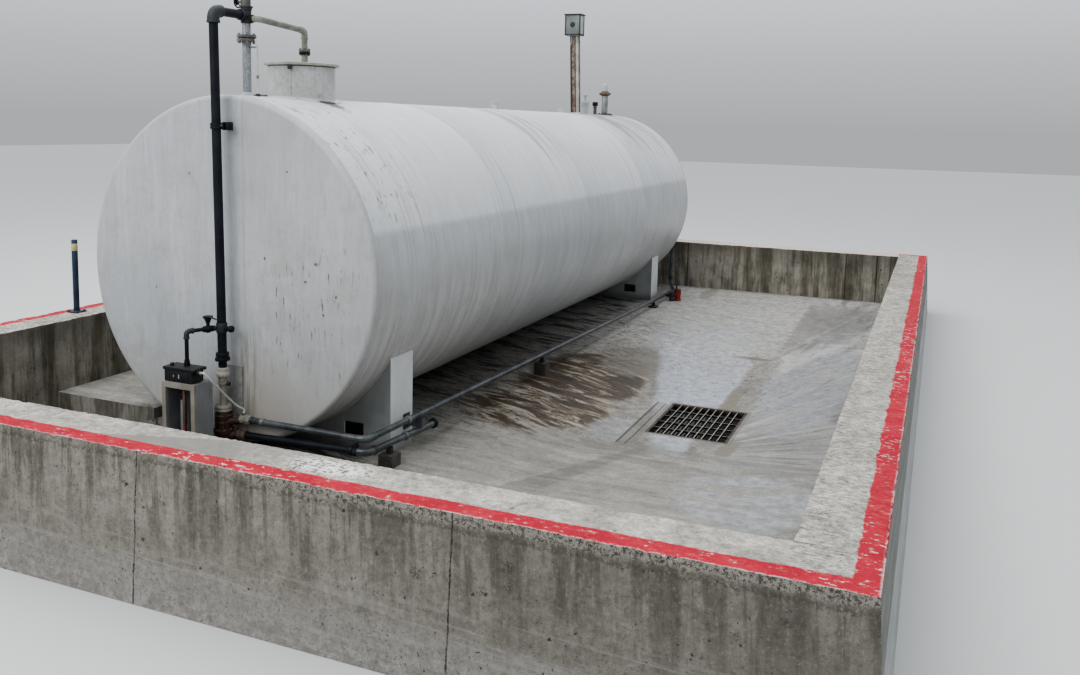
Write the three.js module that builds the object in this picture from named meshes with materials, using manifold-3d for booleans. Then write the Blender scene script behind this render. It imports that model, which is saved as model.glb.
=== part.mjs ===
// Horizontal storage tank on two steel saddles inside a rectangular concrete containment bund.
// Units are millimetres, +Z is up, +Y runs along the tank away from its piped end,
// and the origin is at the middle of the bund's footprint, on the ground.
import * as THREE from 'three';
import { mergeVertices } from 'three/addons/utils/BufferGeometryUtils.js';
import { ConvexGeometry } from 'three/addons/geometries/ConvexGeometry.js';
import Module from 'manifold-3d';

const wasm = await Module();
wasm.setup();

// Driving dimensions

const GAP = 0.3;

const BUND_WIDTH = 6720;
const BUND_LENGTH = 10540;
const SIDE_WALL_THICK = 360;
const END_WALL_THICK = 350;
const WALL_BATTER = 50;
const WALL_TOP = 790;
const WALL_CHAMFER = 16;

const FLOOR_TOP = 140;
const CORNER_FLOOR_TOP = 60;
const PLINTH_TOP = 220;
const PLINTH_WIDTH = 1010;
const PLINTH_FRONT = -3300;
const FALL_EDGE_X = 480;
const TROUGH_LEFT = 1400;
const TROUGH_RIGHT = 2110;
const TROUGH_FRONT = -1700;
const TROUGH_REAR = 350;
const TROUGH_TOP = 55;
const SUMP_FLOOR = 12;

const GRATE_X = 1755;
const GRATE_Y = -1210;
const GRATE_WIDTH = 646;
const GRATE_LENGTH = 876;
const GRATE_DEPTH = 26;
const GRATE_FRAME = 20;
const GRATE_BAR = 10;
const GRATE_COLUMNS = 10;
const GRATE_ROWS = 5;
const GRATE_LEDGE = 24;

const TANK_RADIUS = 1200;
const TANK_X = -1020;
const TANK_Z = 1400;
const TANK_FRONT = -3600;
const TANK_REAR = 4550;
const PLATE = 10;
const KNUCKLE = 34;
const END_SKIRT = 44;
const TANK_SIDES = 60;
const TANK_TOP = TANK_Z + TANK_RADIUS;

const MANWAY_Y = -2730;
const MANWAY_RADIUS = 245;
const MANWAY_TOP = 2838;
const MANWAY_PAD = 292;
const LID_RADIUS = 277;
const LID_THICK = 20;

const SADDLE_LENGTH = 300;
const WEAR_PLATE = 10;
const FRONT_SADDLE = { y: -3040, halfWidth: 1062, wearReach: 63 };
const REAR_SADDLE = { y: 3680, halfWidth: 995, wearReach: 57.5 };

const PIPE = 30;
const RISER_X = -972;
const RISER_Y = -3700;
const RISER_FOOT = 832;
const RISER_LEAN = 28;
const TEE_Y = -3350;
const TEE_Z = 3145;
const UNION_REACH = 62;
const RUN_Y = -3655;
const SIDE_X = 147;
const MAIN_RADIUS = 22;
const MAIN_FRONT_Z = 400;
const MAIN_REAR_Z = 206;
const MAIN_END_Y = 3860;
const CABLE_BOSS_X = -838;
const CABLE_BOSS_TOP = MAIN_FRONT_Z + 42;
const LOWER_RADIUS = 24;
const LOWER_START_Z = 288;
const LOWER_CORNER_Z = 312;
const LOWER_END_Z = 262;
const LOWER_END_Y = -2775;
const RED_VALVE_X = 300;
const RED_VALVE_Y = 3690;
const REAR_RISER_X = -75;
const REAR_RISER_Y = 4720;
const REAR_RISER_TOP = 1000;

const POST_Y = 3110;
const POST_TOP = 3600;

const HALF_WIDTH = BUND_WIDTH / 2;
const HALF_LENGTH = BUND_LENGTH / 2;
const INNER_X = HALF_WIDTH - SIDE_WALL_THICK;
const INNER_Y = HALF_LENGTH - END_WALL_THICK;

// Materials

function paint(color, roughness, metalness = 0) {
  return new THREE.MeshStandardMaterial({ color, roughness, metalness });
}

const concrete = paint(0x9a968c, 0.9);
const floorConcrete = paint(0x8f8a80, 0.85);
const tankPaint = paint(0xc9cccb, 0.45);
const saddlePaint = paint(0xb4b8b8, 0.5);
const blackPipe = paint(0x24272b, 0.5, 0.3);
const greyPipe = paint(0x5d6468, 0.45, 0.5);
const galvanised = paint(0x9da3a6, 0.4, 0.8);
const creamPaint = paint(0xa8a08c, 0.6);
const pumpPaint = paint(0x4a2420, 0.6, 0.3);
const cabinetPaint = paint(0x8c8e8c, 0.55, 0.2);
const blackPlastic = paint(0x1b1c1e, 0.5);
const redPaint = paint(0x9c1c16, 0.45);
const rustySteel = paint(0x4b4440, 0.7, 0.5);
const postPaint = paint(0x1c2a38, 0.5);
const cableGrey = paint(0xb9b7ae, 0.6);

// Solids: closed meshes that can be joined and cut

const AXIS_X = new THREE.Vector3(1, 0, 0);
const AXIS_Y = new THREE.Vector3(0, 1, 0);
const AXIS_Z = new THREE.Vector3(0, 0, 1);

function solid(geometry, matrix) {
  const bare = new THREE.BufferGeometry();
  bare.setAttribute('position', geometry.getAttribute('position').clone());
  if (geometry.index) bare.setIndex(geometry.index.clone());
  if (matrix) bare.applyMatrix4(matrix);
  const merged = mergeVertices(bare, 1e-3);
  return new wasm.Manifold(new wasm.Mesh({
    numProp: 3,
    vertProperties: new Float32Array(merged.attributes.position.array),
    triVerts: new Uint32Array(merged.index.array),
  }));
}

function fuse(...solids) {
  return solids.reduce((whole, next) => whole.add(next));
}

function shiftBy(x, y, z) {
  return new THREE.Matrix4().makeTranslation(x, y, z);
}

// A block between two opposite corners.
function block(x0, y0, z0, x1, y1, z1) {
  const shape = new THREE.BoxGeometry(x1 - x0, y1 - y0, z1 - z0);
  return solid(shape, shiftBy((x0 + x1) / 2, (y0 + y1) / 2, (z0 + z1) / 2));
}

// A round bar or cone from one point to another.
function rod(from, to, radius, endRadius = radius, sides = 12) {
  const start = new THREE.Vector3(...from);
  const along = new THREE.Vector3(...to).sub(start);
  const shape = new THREE.CylinderGeometry(endRadius, radius, along.length(), sides);
  const turn = new THREE.Quaternion().setFromUnitVectors(AXIS_Y, along.clone().normalize());
  const middle = start.addScaledVector(along, 0.5);
  return solid(shape, new THREE.Matrix4().compose(middle, turn, new THREE.Vector3(1, 1, 1)));
}

// The radius of a faceted bore that clears a faceted bar.
function clearOf(radius) {
  return radius * 1.02 / Math.cos(Math.PI / 12) + GAP;
}

function upright(x, y, z0, z1, radius, endRadius = radius, sides = 12) {
  return rod([x, y, z0], [x, y, z1], radius, endRadius, sides);
}

function circle(radius, sides = 16) {
  const shape = new THREE.Shape();
  for (let i = 0; i < sides; i += 1) {
    const angle = (i / sides) * Math.PI * 2;
    const x = radius * Math.cos(angle);
    const y = radius * Math.sin(angle);
    if (i === 0) shape.moveTo(x, y);
    else shape.lineTo(x, y);
  }
  shape.closePath();
  return shape;
}

// A pipe through corner points, its corners rounded to a bend radius.
function bentPipe(points, radius, bend, sides = 12) {
  const corners = points.map((p) => new THREE.Vector3(...p));
  const pieces = [];
  let start = corners[0];
  for (let i = 1; i < corners.length; i += 1) {
    const corner = corners[i];
    if (i === corners.length - 1) {
      pieces.push(rod(start.toArray(), corner.toArray(), radius, radius, sides));
      break;
    }
    const into = corner.clone().sub(corners[i - 1]).normalize();
    const out = corners[i + 1].clone().sub(corner).normalize();
    const arcStart = corner.clone().addScaledVector(into, -bend);
    const arcEnd = corner.clone().addScaledVector(out, bend);
    pieces.push(rod(start.toArray(), arcStart.toArray(), radius, radius, sides));
    const overlap = 0.5;
    const curve = new THREE.QuadraticBezierCurve3(
      arcStart.clone().addScaledVector(into, -overlap),
      corner,
      arcEnd.clone().addScaledVector(out, overlap),
    );
    const bendShape = new THREE.ExtrudeGeometry(circle(radius * 1.02, sides), {
      steps: 4, extrudePath: curve, bevelEnabled: false,
    });
    pieces.push(solid(bendShape));
    start = arcEnd;
  }
  return fuse(...pieces);
}

// A flat profile given in X and Z, pushed through from one Y to another.
function prismAlongY(outline, y0, y1, holes = []) {
  const shape = new THREE.Shape(outline.map(([x, z]) => new THREE.Vector2(x, z)));
  holes.forEach((hole) => shape.holes.push(new THREE.Path(hole.map(([x, z]) => new THREE.Vector2(x, z)))));
  const geometry = new THREE.ExtrudeGeometry(shape, { depth: y1 - y0, bevelEnabled: false });
  const turn = new THREE.Matrix4().makeBasis(AXIS_X, AXIS_Z, AXIS_Y.clone().negate());
  return solid(geometry, shiftBy(0, y1, 0).multiply(turn));
}

// A round shape turned about the tank's axis, from points of radius and Y.
function turnedOnTankAxis(profile, sides = TANK_SIDES) {
  const points = profile.map(([r, y]) => new THREE.Vector2(r, y));
  return solid(new THREE.LatheGeometry(points, sides), shiftBy(TANK_X, 0, TANK_Z));
}

// The tank's outer surface as a solid, grown by a gap, for fitting what stands on it.
function tankEnvelope(grow) {
  const sides = TANK_SIDES;
  const reach = 200;
  const radius = (TANK_RADIUS + grow);
  return turnedOnTankAxis([[0, TANK_FRONT - reach], [radius, TANK_FRONT - reach],
    [radius, TANK_REAR + reach], [0, TANK_REAR + reach]], sides);
}

function onTank(piece) {
  return piece.subtract(tankEnvelope(GAP));
}

const model = new THREE.Group();
model.name = 'storage_tank_in_bund';

function place(name, material, piece) {
  const { vertProperties, triVerts } = piece.getMesh();
  const geometry = new THREE.BufferGeometry();
  geometry.setAttribute('position', new THREE.BufferAttribute(new Float32Array(vertProperties), 3));
  geometry.setIndex(new THREE.BufferAttribute(new Uint32Array(triVerts), 1));
  geometry.computeVertexNormals();
  const mesh = new THREE.Mesh(geometry, material);
  mesh.name = name;
  model.add(mesh);
}

// Bund walls: the outer faces lean in towards the top. The front and rear walls run the full
// width, and the side walls stand between them.

function leaned(z) {
  return WALL_BATTER * (1 - z / WALL_TOP);
}

function wallSection(inner, outer) {
  const side = Math.sign(outer);
  const shoulder = WALL_TOP - WALL_CHAMFER;
  return [
    [outer + side * leaned(0), 0],
    [outer + side * leaned(shoulder), shoulder],
    [outer - side * WALL_CHAMFER, WALL_TOP],
    [inner + side * WALL_CHAMFER, WALL_TOP],
    [inner, shoulder],
    [inner, 0],
  ];
}

function endWall(name, inner, outer) {
  const corners = [];
  wallSection(inner, outer).forEach(([y, z]) => {
    const reach = HALF_WIDTH + leaned(z);
    corners.push(new THREE.Vector3(-reach, y, z), new THREE.Vector3(reach, y, z));
  });
  place(name, concrete, solid(new ConvexGeometry(corners)));
}

function sideWall(name, inner, outer) {
  const reach = INNER_Y - GAP;
  const corners = [];
  wallSection(inner, outer).forEach(([x, z]) => {
    corners.push(new THREE.Vector3(x, -reach, z), new THREE.Vector3(x, reach, z));
  });
  place(name, concrete, solid(new ConvexGeometry(corners)));
}

function bundWalls() {
  endWall('bund_front_wall', -INNER_Y, -HALF_LENGTH);
  endWall('bund_rear_wall', INNER_Y, HALF_LENGTH);
  sideWall('bund_left_wall', -INNER_X, -HALF_WIDTH);
  sideWall('bund_right_wall', INNER_X, HALF_WIDTH);
}

// Bund floor: a level slab under the tank, and four falls to a trough with the sump

function fall(name, outer, inner) {
  const corners = [];
  outer.forEach(([x, y]) => corners.push([x, y, 0], [x, y, FLOOR_TOP]));
  inner.forEach(([x, y]) => corners.push([x, y, 0], [x, y, TROUGH_TOP]));
  const hull = new ConvexGeometry(corners.map((c) => new THREE.Vector3(...c)));
  place(name, floorConcrete, solid(hull));
}

function bundFloor() {
  const left = -INNER_X + GAP;
  const right = INNER_X - GAP;
  const front = -INNER_Y + GAP;
  const rear = INNER_Y - GAP;
  const plinthRight = -INNER_X + PLINTH_WIDTH;
  place('floor_tank_slab', floorConcrete,
    block(plinthRight + GAP, front, 0, FALL_EDGE_X - GAP, rear, FLOOR_TOP));
  place('floor_front_corner', floorConcrete,
    block(left, front, 0, plinthRight, PLINTH_FRONT - GAP, CORNER_FLOOR_TOP));
  place('side_plinth', floorConcrete, block(left, PLINTH_FRONT, 0, plinthRight, rear, PLINTH_TOP));

  const g = GAP;
  const edge = FALL_EDGE_X;
  const inner = {
    left: TROUGH_LEFT - g, right: TROUGH_RIGHT + g, front: TROUGH_FRONT - g, rear: TROUGH_REAR + g,
  };
  fall('floor_fall_left', [[edge, front + g], [edge, rear - g]],
    [[inner.left, inner.front + g], [inner.left, inner.rear - g]]);
  fall('floor_fall_right', [[right, front + g], [right, rear - g]],
    [[inner.right, inner.front + g], [inner.right, inner.rear - g]]);
  fall('floor_fall_front', [[edge + g, front], [right - g, front]],
    [[inner.left + g, inner.front], [inner.right - g, inner.front]]);
  fall('floor_fall_rear', [[edge + g, rear], [right - g, rear]],
    [[inner.left + g, inner.rear], [inner.right - g, inner.rear]]);
}

// Sump: a trough block with a rebate that carries the grate over a shallow pit

function sumpAndGrate() {
  const halfX = GRATE_WIDTH / 2;
  const halfY = GRATE_LENGTH / 2;
  const play = 2;
  const rebateFloor = TROUGH_TOP - GRATE_DEPTH - GAP;
  const rebate = block(GRATE_X - halfX - play, GRATE_Y - halfY - play, rebateFloor,
    GRATE_X + halfX + play, GRATE_Y + halfY + play, TROUGH_TOP + 10);
  const pit = block(GRATE_X - halfX + GRATE_LEDGE, GRATE_Y - halfY + GRATE_LEDGE, SUMP_FLOOR,
    GRATE_X + halfX - GRATE_LEDGE, GRATE_Y + halfY - GRATE_LEDGE, TROUGH_TOP + 10);
  const trough = block(TROUGH_LEFT, TROUGH_FRONT, 0, TROUGH_RIGHT, TROUGH_REAR, TROUGH_TOP);
  place('sump_trough', floorConcrete, trough.subtract(rebate).subtract(pit));

  const bottom = TROUGH_TOP - GRATE_DEPTH;
  const x0 = GRATE_X - halfX;
  const y0 = GRATE_Y - halfY;
  const pitchX = (GRATE_WIDTH - 2 * GRATE_FRAME + GRATE_BAR) / GRATE_COLUMNS;
  const pitchY = (GRATE_LENGTH - 2 * GRATE_FRAME + GRATE_BAR) / GRATE_ROWS;
  const bars = [];
  for (let column = 1; column < GRATE_COLUMNS; column += 1) {
    const x = x0 + GRATE_FRAME - GRATE_BAR + column * pitchX;
    bars.push(block(x, y0 + 6, bottom + 1, x + GRATE_BAR, y0 + GRATE_LENGTH - 6, TROUGH_TOP - 1));
  }
  for (let row = 1; row < GRATE_ROWS; row += 1) {
    const y = y0 + GRATE_FRAME - GRATE_BAR + row * pitchY;
    bars.push(block(x0 + 5, y, bottom + 3, x0 + GRATE_WIDTH - 5, y + GRATE_BAR, TROUGH_TOP - 4));
  }
  const outside = block(x0, y0, bottom, x0 + GRATE_WIDTH, y0 + GRATE_LENGTH, TROUGH_TOP);
  const opening = block(x0 + GRATE_FRAME, y0 + GRATE_FRAME, bottom - 10,
    x0 + GRATE_WIDTH - GRATE_FRAME, y0 + GRATE_LENGTH - GRATE_FRAME, TROUGH_TOP + 10);
  place('drain_grate', rustySteel, fuse(outside.subtract(opening), ...bars));
}

// Marker post on the left wall

function markerPost() {
  const x = -3200;
  const y = -2910;
  const plate = 110;
  const height = 612;
  place('marker_post', postPaint, fuse(
    block(x - plate / 2, y - plate / 2, WALL_TOP + GAP, x + plate / 2, y + plate / 2, WALL_TOP + 9),
    upright(x, y, WALL_TOP + 5, WALL_TOP + height, 24),
  ));
}

// Tank: rolled shell with two flat ends that turn in at a small knuckle

function endProfile(outerY, inward) {
  const flat = TANK_RADIUS - KNUCKLE;
  const points = [[0, outerY], [flat, outerY]];
  const arcSteps = 3;
  for (let i = 1; i <= arcSteps; i += 1) {
    const angle = (i / arcSteps) * (Math.PI / 2);
    points.push([flat + KNUCKLE * Math.sin(angle), outerY + inward * KNUCKLE * (1 - Math.cos(angle))]);
  }
  points.push([TANK_RADIUS, outerY + inward * END_SKIRT]);
  points.push([TANK_RADIUS - PLATE, outerY + inward * END_SKIRT]);
  points.push([TANK_RADIUS - PLATE, outerY + inward * KNUCKLE]);
  points.push([flat, outerY + inward * PLATE]);
  points.push([0, outerY + inward * PLATE]);
  return inward > 0 ? points : points.reverse();
}

function tank() {
  const front = TANK_FRONT + END_SKIRT + GAP;
  const rear = TANK_REAR - END_SKIRT - GAP;
  const inner = TANK_RADIUS - PLATE;
  const manhole = upright(TANK_X, MANWAY_Y, TANK_Z, TANK_TOP + 50, MANWAY_RADIUS - 30, MANWAY_RADIUS - 30, 32);
  const shell = turnedOnTankAxis([[inner, front], [TANK_RADIUS, front], [TANK_RADIUS, rear],
    [inner, rear], [inner, front]]);
  place('tank_shell', tankPaint, shell.subtract(manhole));
  place('tank_front_end', tankPaint, turnedOnTankAxis(endProfile(TANK_FRONT, 1)));
  place('tank_rear_end', tankPaint, turnedOnTankAxis(endProfile(TANK_REAR, -1)));
}

function manway() {
  const bottom = TANK_TOP - 60;
  const outer = upright(TANK_X, MANWAY_Y, bottom, MANWAY_TOP, MANWAY_RADIUS, MANWAY_RADIUS, 40);
  const bore = upright(TANK_X, MANWAY_Y, bottom - 10, MANWAY_TOP + 10, MANWAY_RADIUS - PLATE, MANWAY_RADIUS - PLATE, 40);
  const padBlank = upright(TANK_X, MANWAY_Y, bottom, TANK_TOP + 60, MANWAY_PAD, MANWAY_PAD, 40);
  const pad = padBlank.intersect(tankEnvelope(PLATE));
  place('manway_neck', tankPaint, onTank(fuse(outer, pad).subtract(bore)));
  place('manway_lid', tankPaint, upright(TANK_X, MANWAY_Y, MANWAY_TOP + GAP, MANWAY_TOP + LID_THICK,
    LID_RADIUS, LID_RADIUS, 40));
}

// Saddles: a welded box of two webs and two end plates under a curved wear plate

function saddle(prefix, { y, halfWidth, wearReach }) {
  const y0 = y - SADDLE_LENGTH / 2;
  const y1 = y + SADDLE_LENGTH / 2;
  const half = halfWidth;
  const plate = 12;
  const bottom = FLOOR_TOP + GAP;
  const tall = TANK_Z;
  const outside = block(TANK_X - half, y0, bottom, TANK_X + half, y1, tall);
  const inside = block(TANK_X - half + plate, y0 + plate, bottom - 10,
    TANK_X + half - plate, y1 - plate, tall + 10);
  const slot = block(TANK_X + half - 380, y0 - 20, bottom + 90, TANK_X + half - 220, y0 + 40, bottom + 190);
  const slotLeft = block(TANK_X - half + 220, y0 - 20, bottom + 90, TANK_X - half + 380, y0 + 40, bottom + 190);
  const wearEnvelope = tankEnvelope(GAP + WEAR_PLATE + GAP);
  const plinth = block(-INNER_X, y0 - 20, 0, -INNER_X + PLINTH_WIDTH + 2 * GAP, y1 + 20, PLINTH_TOP + GAP);
  const box = outside.subtract(inside).subtract(slot).subtract(slotLeft);
  place(`${prefix}_saddle`, saddlePaint, box.subtract(wearEnvelope).subtract(plinth));

  const reach = THREE.MathUtils.degToRad(wearReach);
  const halfPlate = (TANK_RADIUS + WEAR_PLATE) * Math.sin(reach);
  const plateTop = TANK_Z - TANK_RADIUS * Math.cos(reach);
  const strip = block(TANK_X - halfPlate, y0 - 14, 0, TANK_X + halfPlate, y1 + 14, plateTop);
  place(`${prefix}_wear_plate`, saddlePaint, onTank(tankEnvelope(GAP + WEAR_PLATE).intersect(strip)));
}

// Riser: black pipe up the front end, over to the tee above the standpipe

const RISER_TURN = [RISER_X - RISER_LEAN, RISER_Y, TEE_Z - 5];
const RISER_END = [TANK_X - 3, TEE_Y - 45, TEE_Z];
const BRANCH_COLLAR = PIPE + 7;

function onRiser(z) {
  const share = (z - RISER_FOOT) / (RISER_TURN[2] - RISER_FOOT);
  return [RISER_X - RISER_LEAN * share, RISER_Y, z];
}

function riser() {
  const socket = PIPE + 10;
  const turn = new THREE.Vector3(...RISER_TURN);
  const away = new THREE.Vector3(...RISER_END).sub(turn).normalize();
  const elbowEnd = turn.clone().addScaledVector(away, 74).toArray();
  const elbowFoot = onRiser(RISER_TURN[2] - 66);
  place('riser_pipe', blackPipe, fuse(
    bentPipe([onRiser(RISER_FOOT), RISER_TURN, RISER_END], PIPE, 62),
    bentPipe([elbowFoot, RISER_TURN, elbowEnd], socket, 62),
    rod(onRiser(RISER_TURN[2] - 80), elbowFoot, socket + 3),
    upright(RISER_X, RISER_Y, 1000, 1066, BRANCH_COLLAR),
    upright(RISER_X, RISER_Y, 806, RISER_FOOT, 50),
    upright(RISER_X, RISER_Y, RISER_FOOT, 862, 44),
    rod([RISER_X, RISER_Y, 1030], [RISER_X + 96, RISER_Y, 1030], 20),
  ));
  const clampZ = 2390;
  const arm = block(RISER_X - 60, RISER_Y - 42, clampZ - 28, RISER_X + 36, TANK_FRONT - GAP, clampZ + 28);
  place('riser_clamp', blackPipe, fuse(
    arm,
    rod([RISER_X + 30, RISER_Y + 40, clampZ], [RISER_X + 74, RISER_Y + 40, clampZ], 18),
  ).subtract(rod(onRiser(clampZ - 90), onRiser(clampZ + 90), clearOf(PIPE))));
}

// Tee, small valve with its wheel, and the union towards the manway

function topFittings() {
  place('top_tee_valve', greyPipe, fuse(
    upright(TANK_X, TEE_Y, TEE_Z - 52, TEE_Z + 52, 38),
    rod([TANK_X - 4, TEE_Y - 60, TEE_Z], [TANK_X, TEE_Y, TEE_Z], 38),
    rod([TANK_X, TEE_Y, TEE_Z - 24], [TANK_X + UNION_REACH, TEE_Y, TEE_Z - 24], 27),
    upright(TANK_X, TEE_Y, TEE_Z + 50, TEE_Z + 62, 46),
    upright(TANK_X, TEE_Y, TEE_Z + 60, TEE_Z + 150, 32),
    upright(TANK_X, TEE_Y, TEE_Z + 148, TEE_Z + 166, 42),
    rod([TANK_X - 20, TEE_Y, TEE_Z + 92], [TANK_X - 62, TEE_Y, TEE_Z + 92], 9),
    rod([TANK_X - 60, TEE_Y, TEE_Z + 92], [TANK_X - 82, TEE_Y, TEE_Z + 92], 34),
  ).subtract(rod(RISER_TURN, [RISER_END[0], RISER_END[1] + 2, RISER_END[2]], clearOf(PIPE))));
  const flange = 66;
  const flangeZ = 2990;
  place('standpipe', galvanised, onTank(fuse(
    upright(TANK_X, TEE_Y, TANK_TOP - 20, TEE_Z - 52 - GAP, 29),
    upright(TANK_X, TEE_Y, TANK_TOP - 20, TANK_TOP + 40, 48, 30),
    upright(TANK_X, TEE_Y, flangeZ - 22, flangeZ - 3, flange, flange, 24),
    upright(TANK_X, TEE_Y, flangeZ + 3, flangeZ + 22, flange, flange, 24),
    upright(TANK_X, TEE_Y, flangeZ - 4, flangeZ + 4, flange - 12, flange - 12, 24),
    upright(TANK_X + 88, TEE_Y, TANK_TOP - 20, flangeZ - 30, 7, 7, 10),
    block(TANK_X, TEE_Y - 6, flangeZ - 60, TANK_X + 90, TEE_Y + 6, flangeZ - 40),
  )));
}

function crossover() {
  const dropY = MANWAY_Y + 35;
  const startX = TANK_X + UNION_REACH + GAP;
  const startZ = TEE_Z - 24;
  const endZ = 3104;
  place('crossover_pipe', creamPaint, fuse(
    bentPipe([[startX, TEE_Y, startZ], [startX + 34, TEE_Y, startZ], [TANK_X, dropY, endZ],
      [TANK_X, dropY, 2966]], 20, 30),
    upright(TANK_X, dropY, endZ - 62, endZ - 30, 26),
  ));
  place('fill_flange', blackPipe, fuse(
    upright(TANK_X, dropY, 2928, 2966 - GAP, 42),
    upright(TANK_X, dropY, MANWAY_TOP + LID_THICK + GAP, 2930, 24),
    upright(TANK_X, dropY, MANWAY_TOP + LID_THICK + GAP, MANWAY_TOP + LID_THICK + 16, 40, 30),
  ));
}

// Branch with a lever valve, from the riser down to the switch box

const CABINET = { x0: -1218, x1: -956, y0: -4000, y1: -3820, top: 700 };
const SWITCH_BOX_HEIGHT = 104;
const SWITCH_BOX_BACK = -3872;

function branch() {
  const z = 1033;
  const dropX = -1092;
  const dropY = -3905;
  const boxTop = CABINET.top + SWITCH_BOX_HEIGHT + GAP;
  const collar = upright(RISER_X, RISER_Y, 970, 1070, BRANCH_COLLAR + GAP / Math.cos(Math.PI / 12));
  const start = [RISER_X - 28, RISER_Y - 33, z];
  const toward = new THREE.Vector3(dropX, dropY, z).sub(new THREE.Vector3(...start)).normalize();
  const along = (distance) => new THREE.Vector3(...start).addScaledVector(toward, distance).toArray();
  place('branch_pipe', blackPipe, fuse(
    bentPipe([along(-12), [dropX, dropY, z], [dropX, dropY, boxTop]], 13, 26, 12),
    upright(dropX, dropY, z - 52, z - 29, 20),
    rod(along(142), along(166), 20),
    upright(dropX, dropY, boxTop, boxTop + 36, 21),
  ).subtract(collar));
  const valve = along(50);
  place('branch_valve', blackPipe, fuse(
    rod(along(18), along(82), 27),
    upright(valve[0], valve[1], z + 10, z + 42, 14),
    upright(valve[0], valve[1], z + 40, z + 86, 16, 34),
    rod([valve[0], valve[1], z + 66], [valve[0] + 118, valve[1] - 10, z + 78], 6, 6, 8),
  ).subtract(rod(along(-10), along(110), clearOf(13))));
}

// Check valve, pump and the wall plate behind them

function pump() {
  place('wall_plate', cabinetPaint,
    block(RISER_X - 95, TANK_FRONT - 14, 390, RISER_X + 90, TANK_FRONT - GAP, 752));
  place('check_valve', creamPaint, fuse(
    upright(RISER_X, RISER_Y, 758, 806 - GAP, 27),
    upright(RISER_X, RISER_Y, 704, 760, 46, 38),
    upright(RISER_X, RISER_Y, 640, 706, 30, 34),
    upright(RISER_X, RISER_Y, 490, 642, 23),
    rod([RISER_X, RISER_Y, 650], [RISER_X + 62, RISER_Y - 8, 650], 15),
    upright(RISER_X, RISER_Y, 456, 492, 60),
  ));
  place('pump_body', pumpPaint, fuse(
    upright(RISER_X, RISER_Y, 286, 456 - GAP, 58),
    upright(RISER_X, RISER_Y, 300, 330, 68),
    upright(RISER_X, RISER_Y, FLOOR_TOP + GAP, 290, 44),
    block(RISER_X - 80, RISER_Y - 80, FLOOR_TOP + GAP, RISER_X + 80, RISER_Y + 80, FLOOR_TOP + 14),
    rod([RISER_X, RISER_Y - 24, MAIN_FRONT_Z - 20], [RISER_X + 118, RUN_Y, MAIN_FRONT_Z - 8], 26),
    rod([RISER_X + 112, RUN_Y, MAIN_FRONT_Z], [RISER_X + 150, RUN_Y, MAIN_FRONT_Z], 33),
    rod([RISER_X, RISER_Y - 24, LOWER_START_Z], [RISER_X + 92, RUN_Y, LOWER_START_Z], 30),
    rod([RISER_X + 82, RUN_Y, LOWER_START_Z], [RISER_X + 112, RUN_Y, LOWER_START_Z], 35),
    upright(CABLE_BOSS_X, RUN_Y, MAIN_FRONT_Z, CABLE_BOSS_TOP, 15),
  ));
}

// Cabinet with an open front, and the switch box on it

function cabinet() {
  const c = CABINET;
  const wall = 8;
  const shell = block(c.x0, c.y0 + 26, FLOOR_TOP + GAP, c.x1, c.y1, c.top);
  const hollow = block(c.x0 + wall, c.y0, FLOOR_TOP + 30, c.x1 - wall, c.y1 - wall, c.top - wall);
  place('cabinet_body', cabinetPaint, shell.subtract(hollow));
  const frame = block(c.x0 - 6, c.y0, FLOOR_TOP + GAP, c.x1 + 6, c.y0 + 26 - GAP, c.top + 4);
  const window = block(c.x0 + 26, c.y0 - 10, FLOOR_TOP + 40, c.x1 - 26, c.y0 + 40, c.top - 34);
  place('cabinet_frame', creamPaint, frame.subtract(window));
  place('switch_box', blackPlastic, fuse(
    block(c.x0 + 8, c.y0 + 12, c.top + 4 + GAP, c.x1 - 28, SWITCH_BOX_BACK, c.top + 88),
    block(c.x0, c.y0 + 6, c.top + 84, c.x1 - 4, SWITCH_BOX_BACK + 4, c.top + SWITCH_BOX_HEIGHT),
    upright(c.x0 + 40, c.y0 + 50, c.top + 100, c.top + 122, 13),
    rod([c.x1 - 32, c.y0 + 52, c.top + 76], [c.x1 + 22, c.y0 + 52, c.top + 76], 23),
  ));
}

function cable() {
  const c = CABINET;
  const glandX = c.x1 + 22 + GAP;
  const glandY = c.y0 + 52;
  const glandZ = c.top + 76;
  const endZ = CABLE_BOSS_TOP + GAP;
  const route = new THREE.CatmullRomCurve3([
    [glandX, glandY, glandZ], [glandX + 26, glandY, glandZ], [glandX + 54, glandY + 64, glandZ - 84],
    [CABLE_BOSS_X - 22, RUN_Y - 64, endZ + 78], [CABLE_BOSS_X, RUN_Y, endZ + 26], [CABLE_BOSS_X, RUN_Y, endZ],
  ].map((p) => new THREE.Vector3(...p)));
  place('cable_conduit', cableGrey, solid(new THREE.ExtrudeGeometry(circle(8, 8), {
    steps: 16, extrudePath: route, bevelEnabled: false,
  })));
}

// Floor pipes: the main line from the pump to the rear valve, and the shorter line under it

function mainZ(y) {
  return MAIN_FRONT_Z + (MAIN_REAR_Z - MAIN_FRONT_Z) * ((y - RUN_Y) / (MAIN_END_Y - RUN_Y));
}

function lowerZ(y) {
  return LOWER_CORNER_Z + (LOWER_END_Z - LOWER_CORNER_Z) * ((y - RUN_Y) / (LOWER_END_Y - RUN_Y));
}

function onMain(y) {
  return [SIDE_X, y, mainZ(y)];
}

function onLower(y) {
  return [SIDE_X + 5, y, lowerZ(y)];
}

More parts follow.
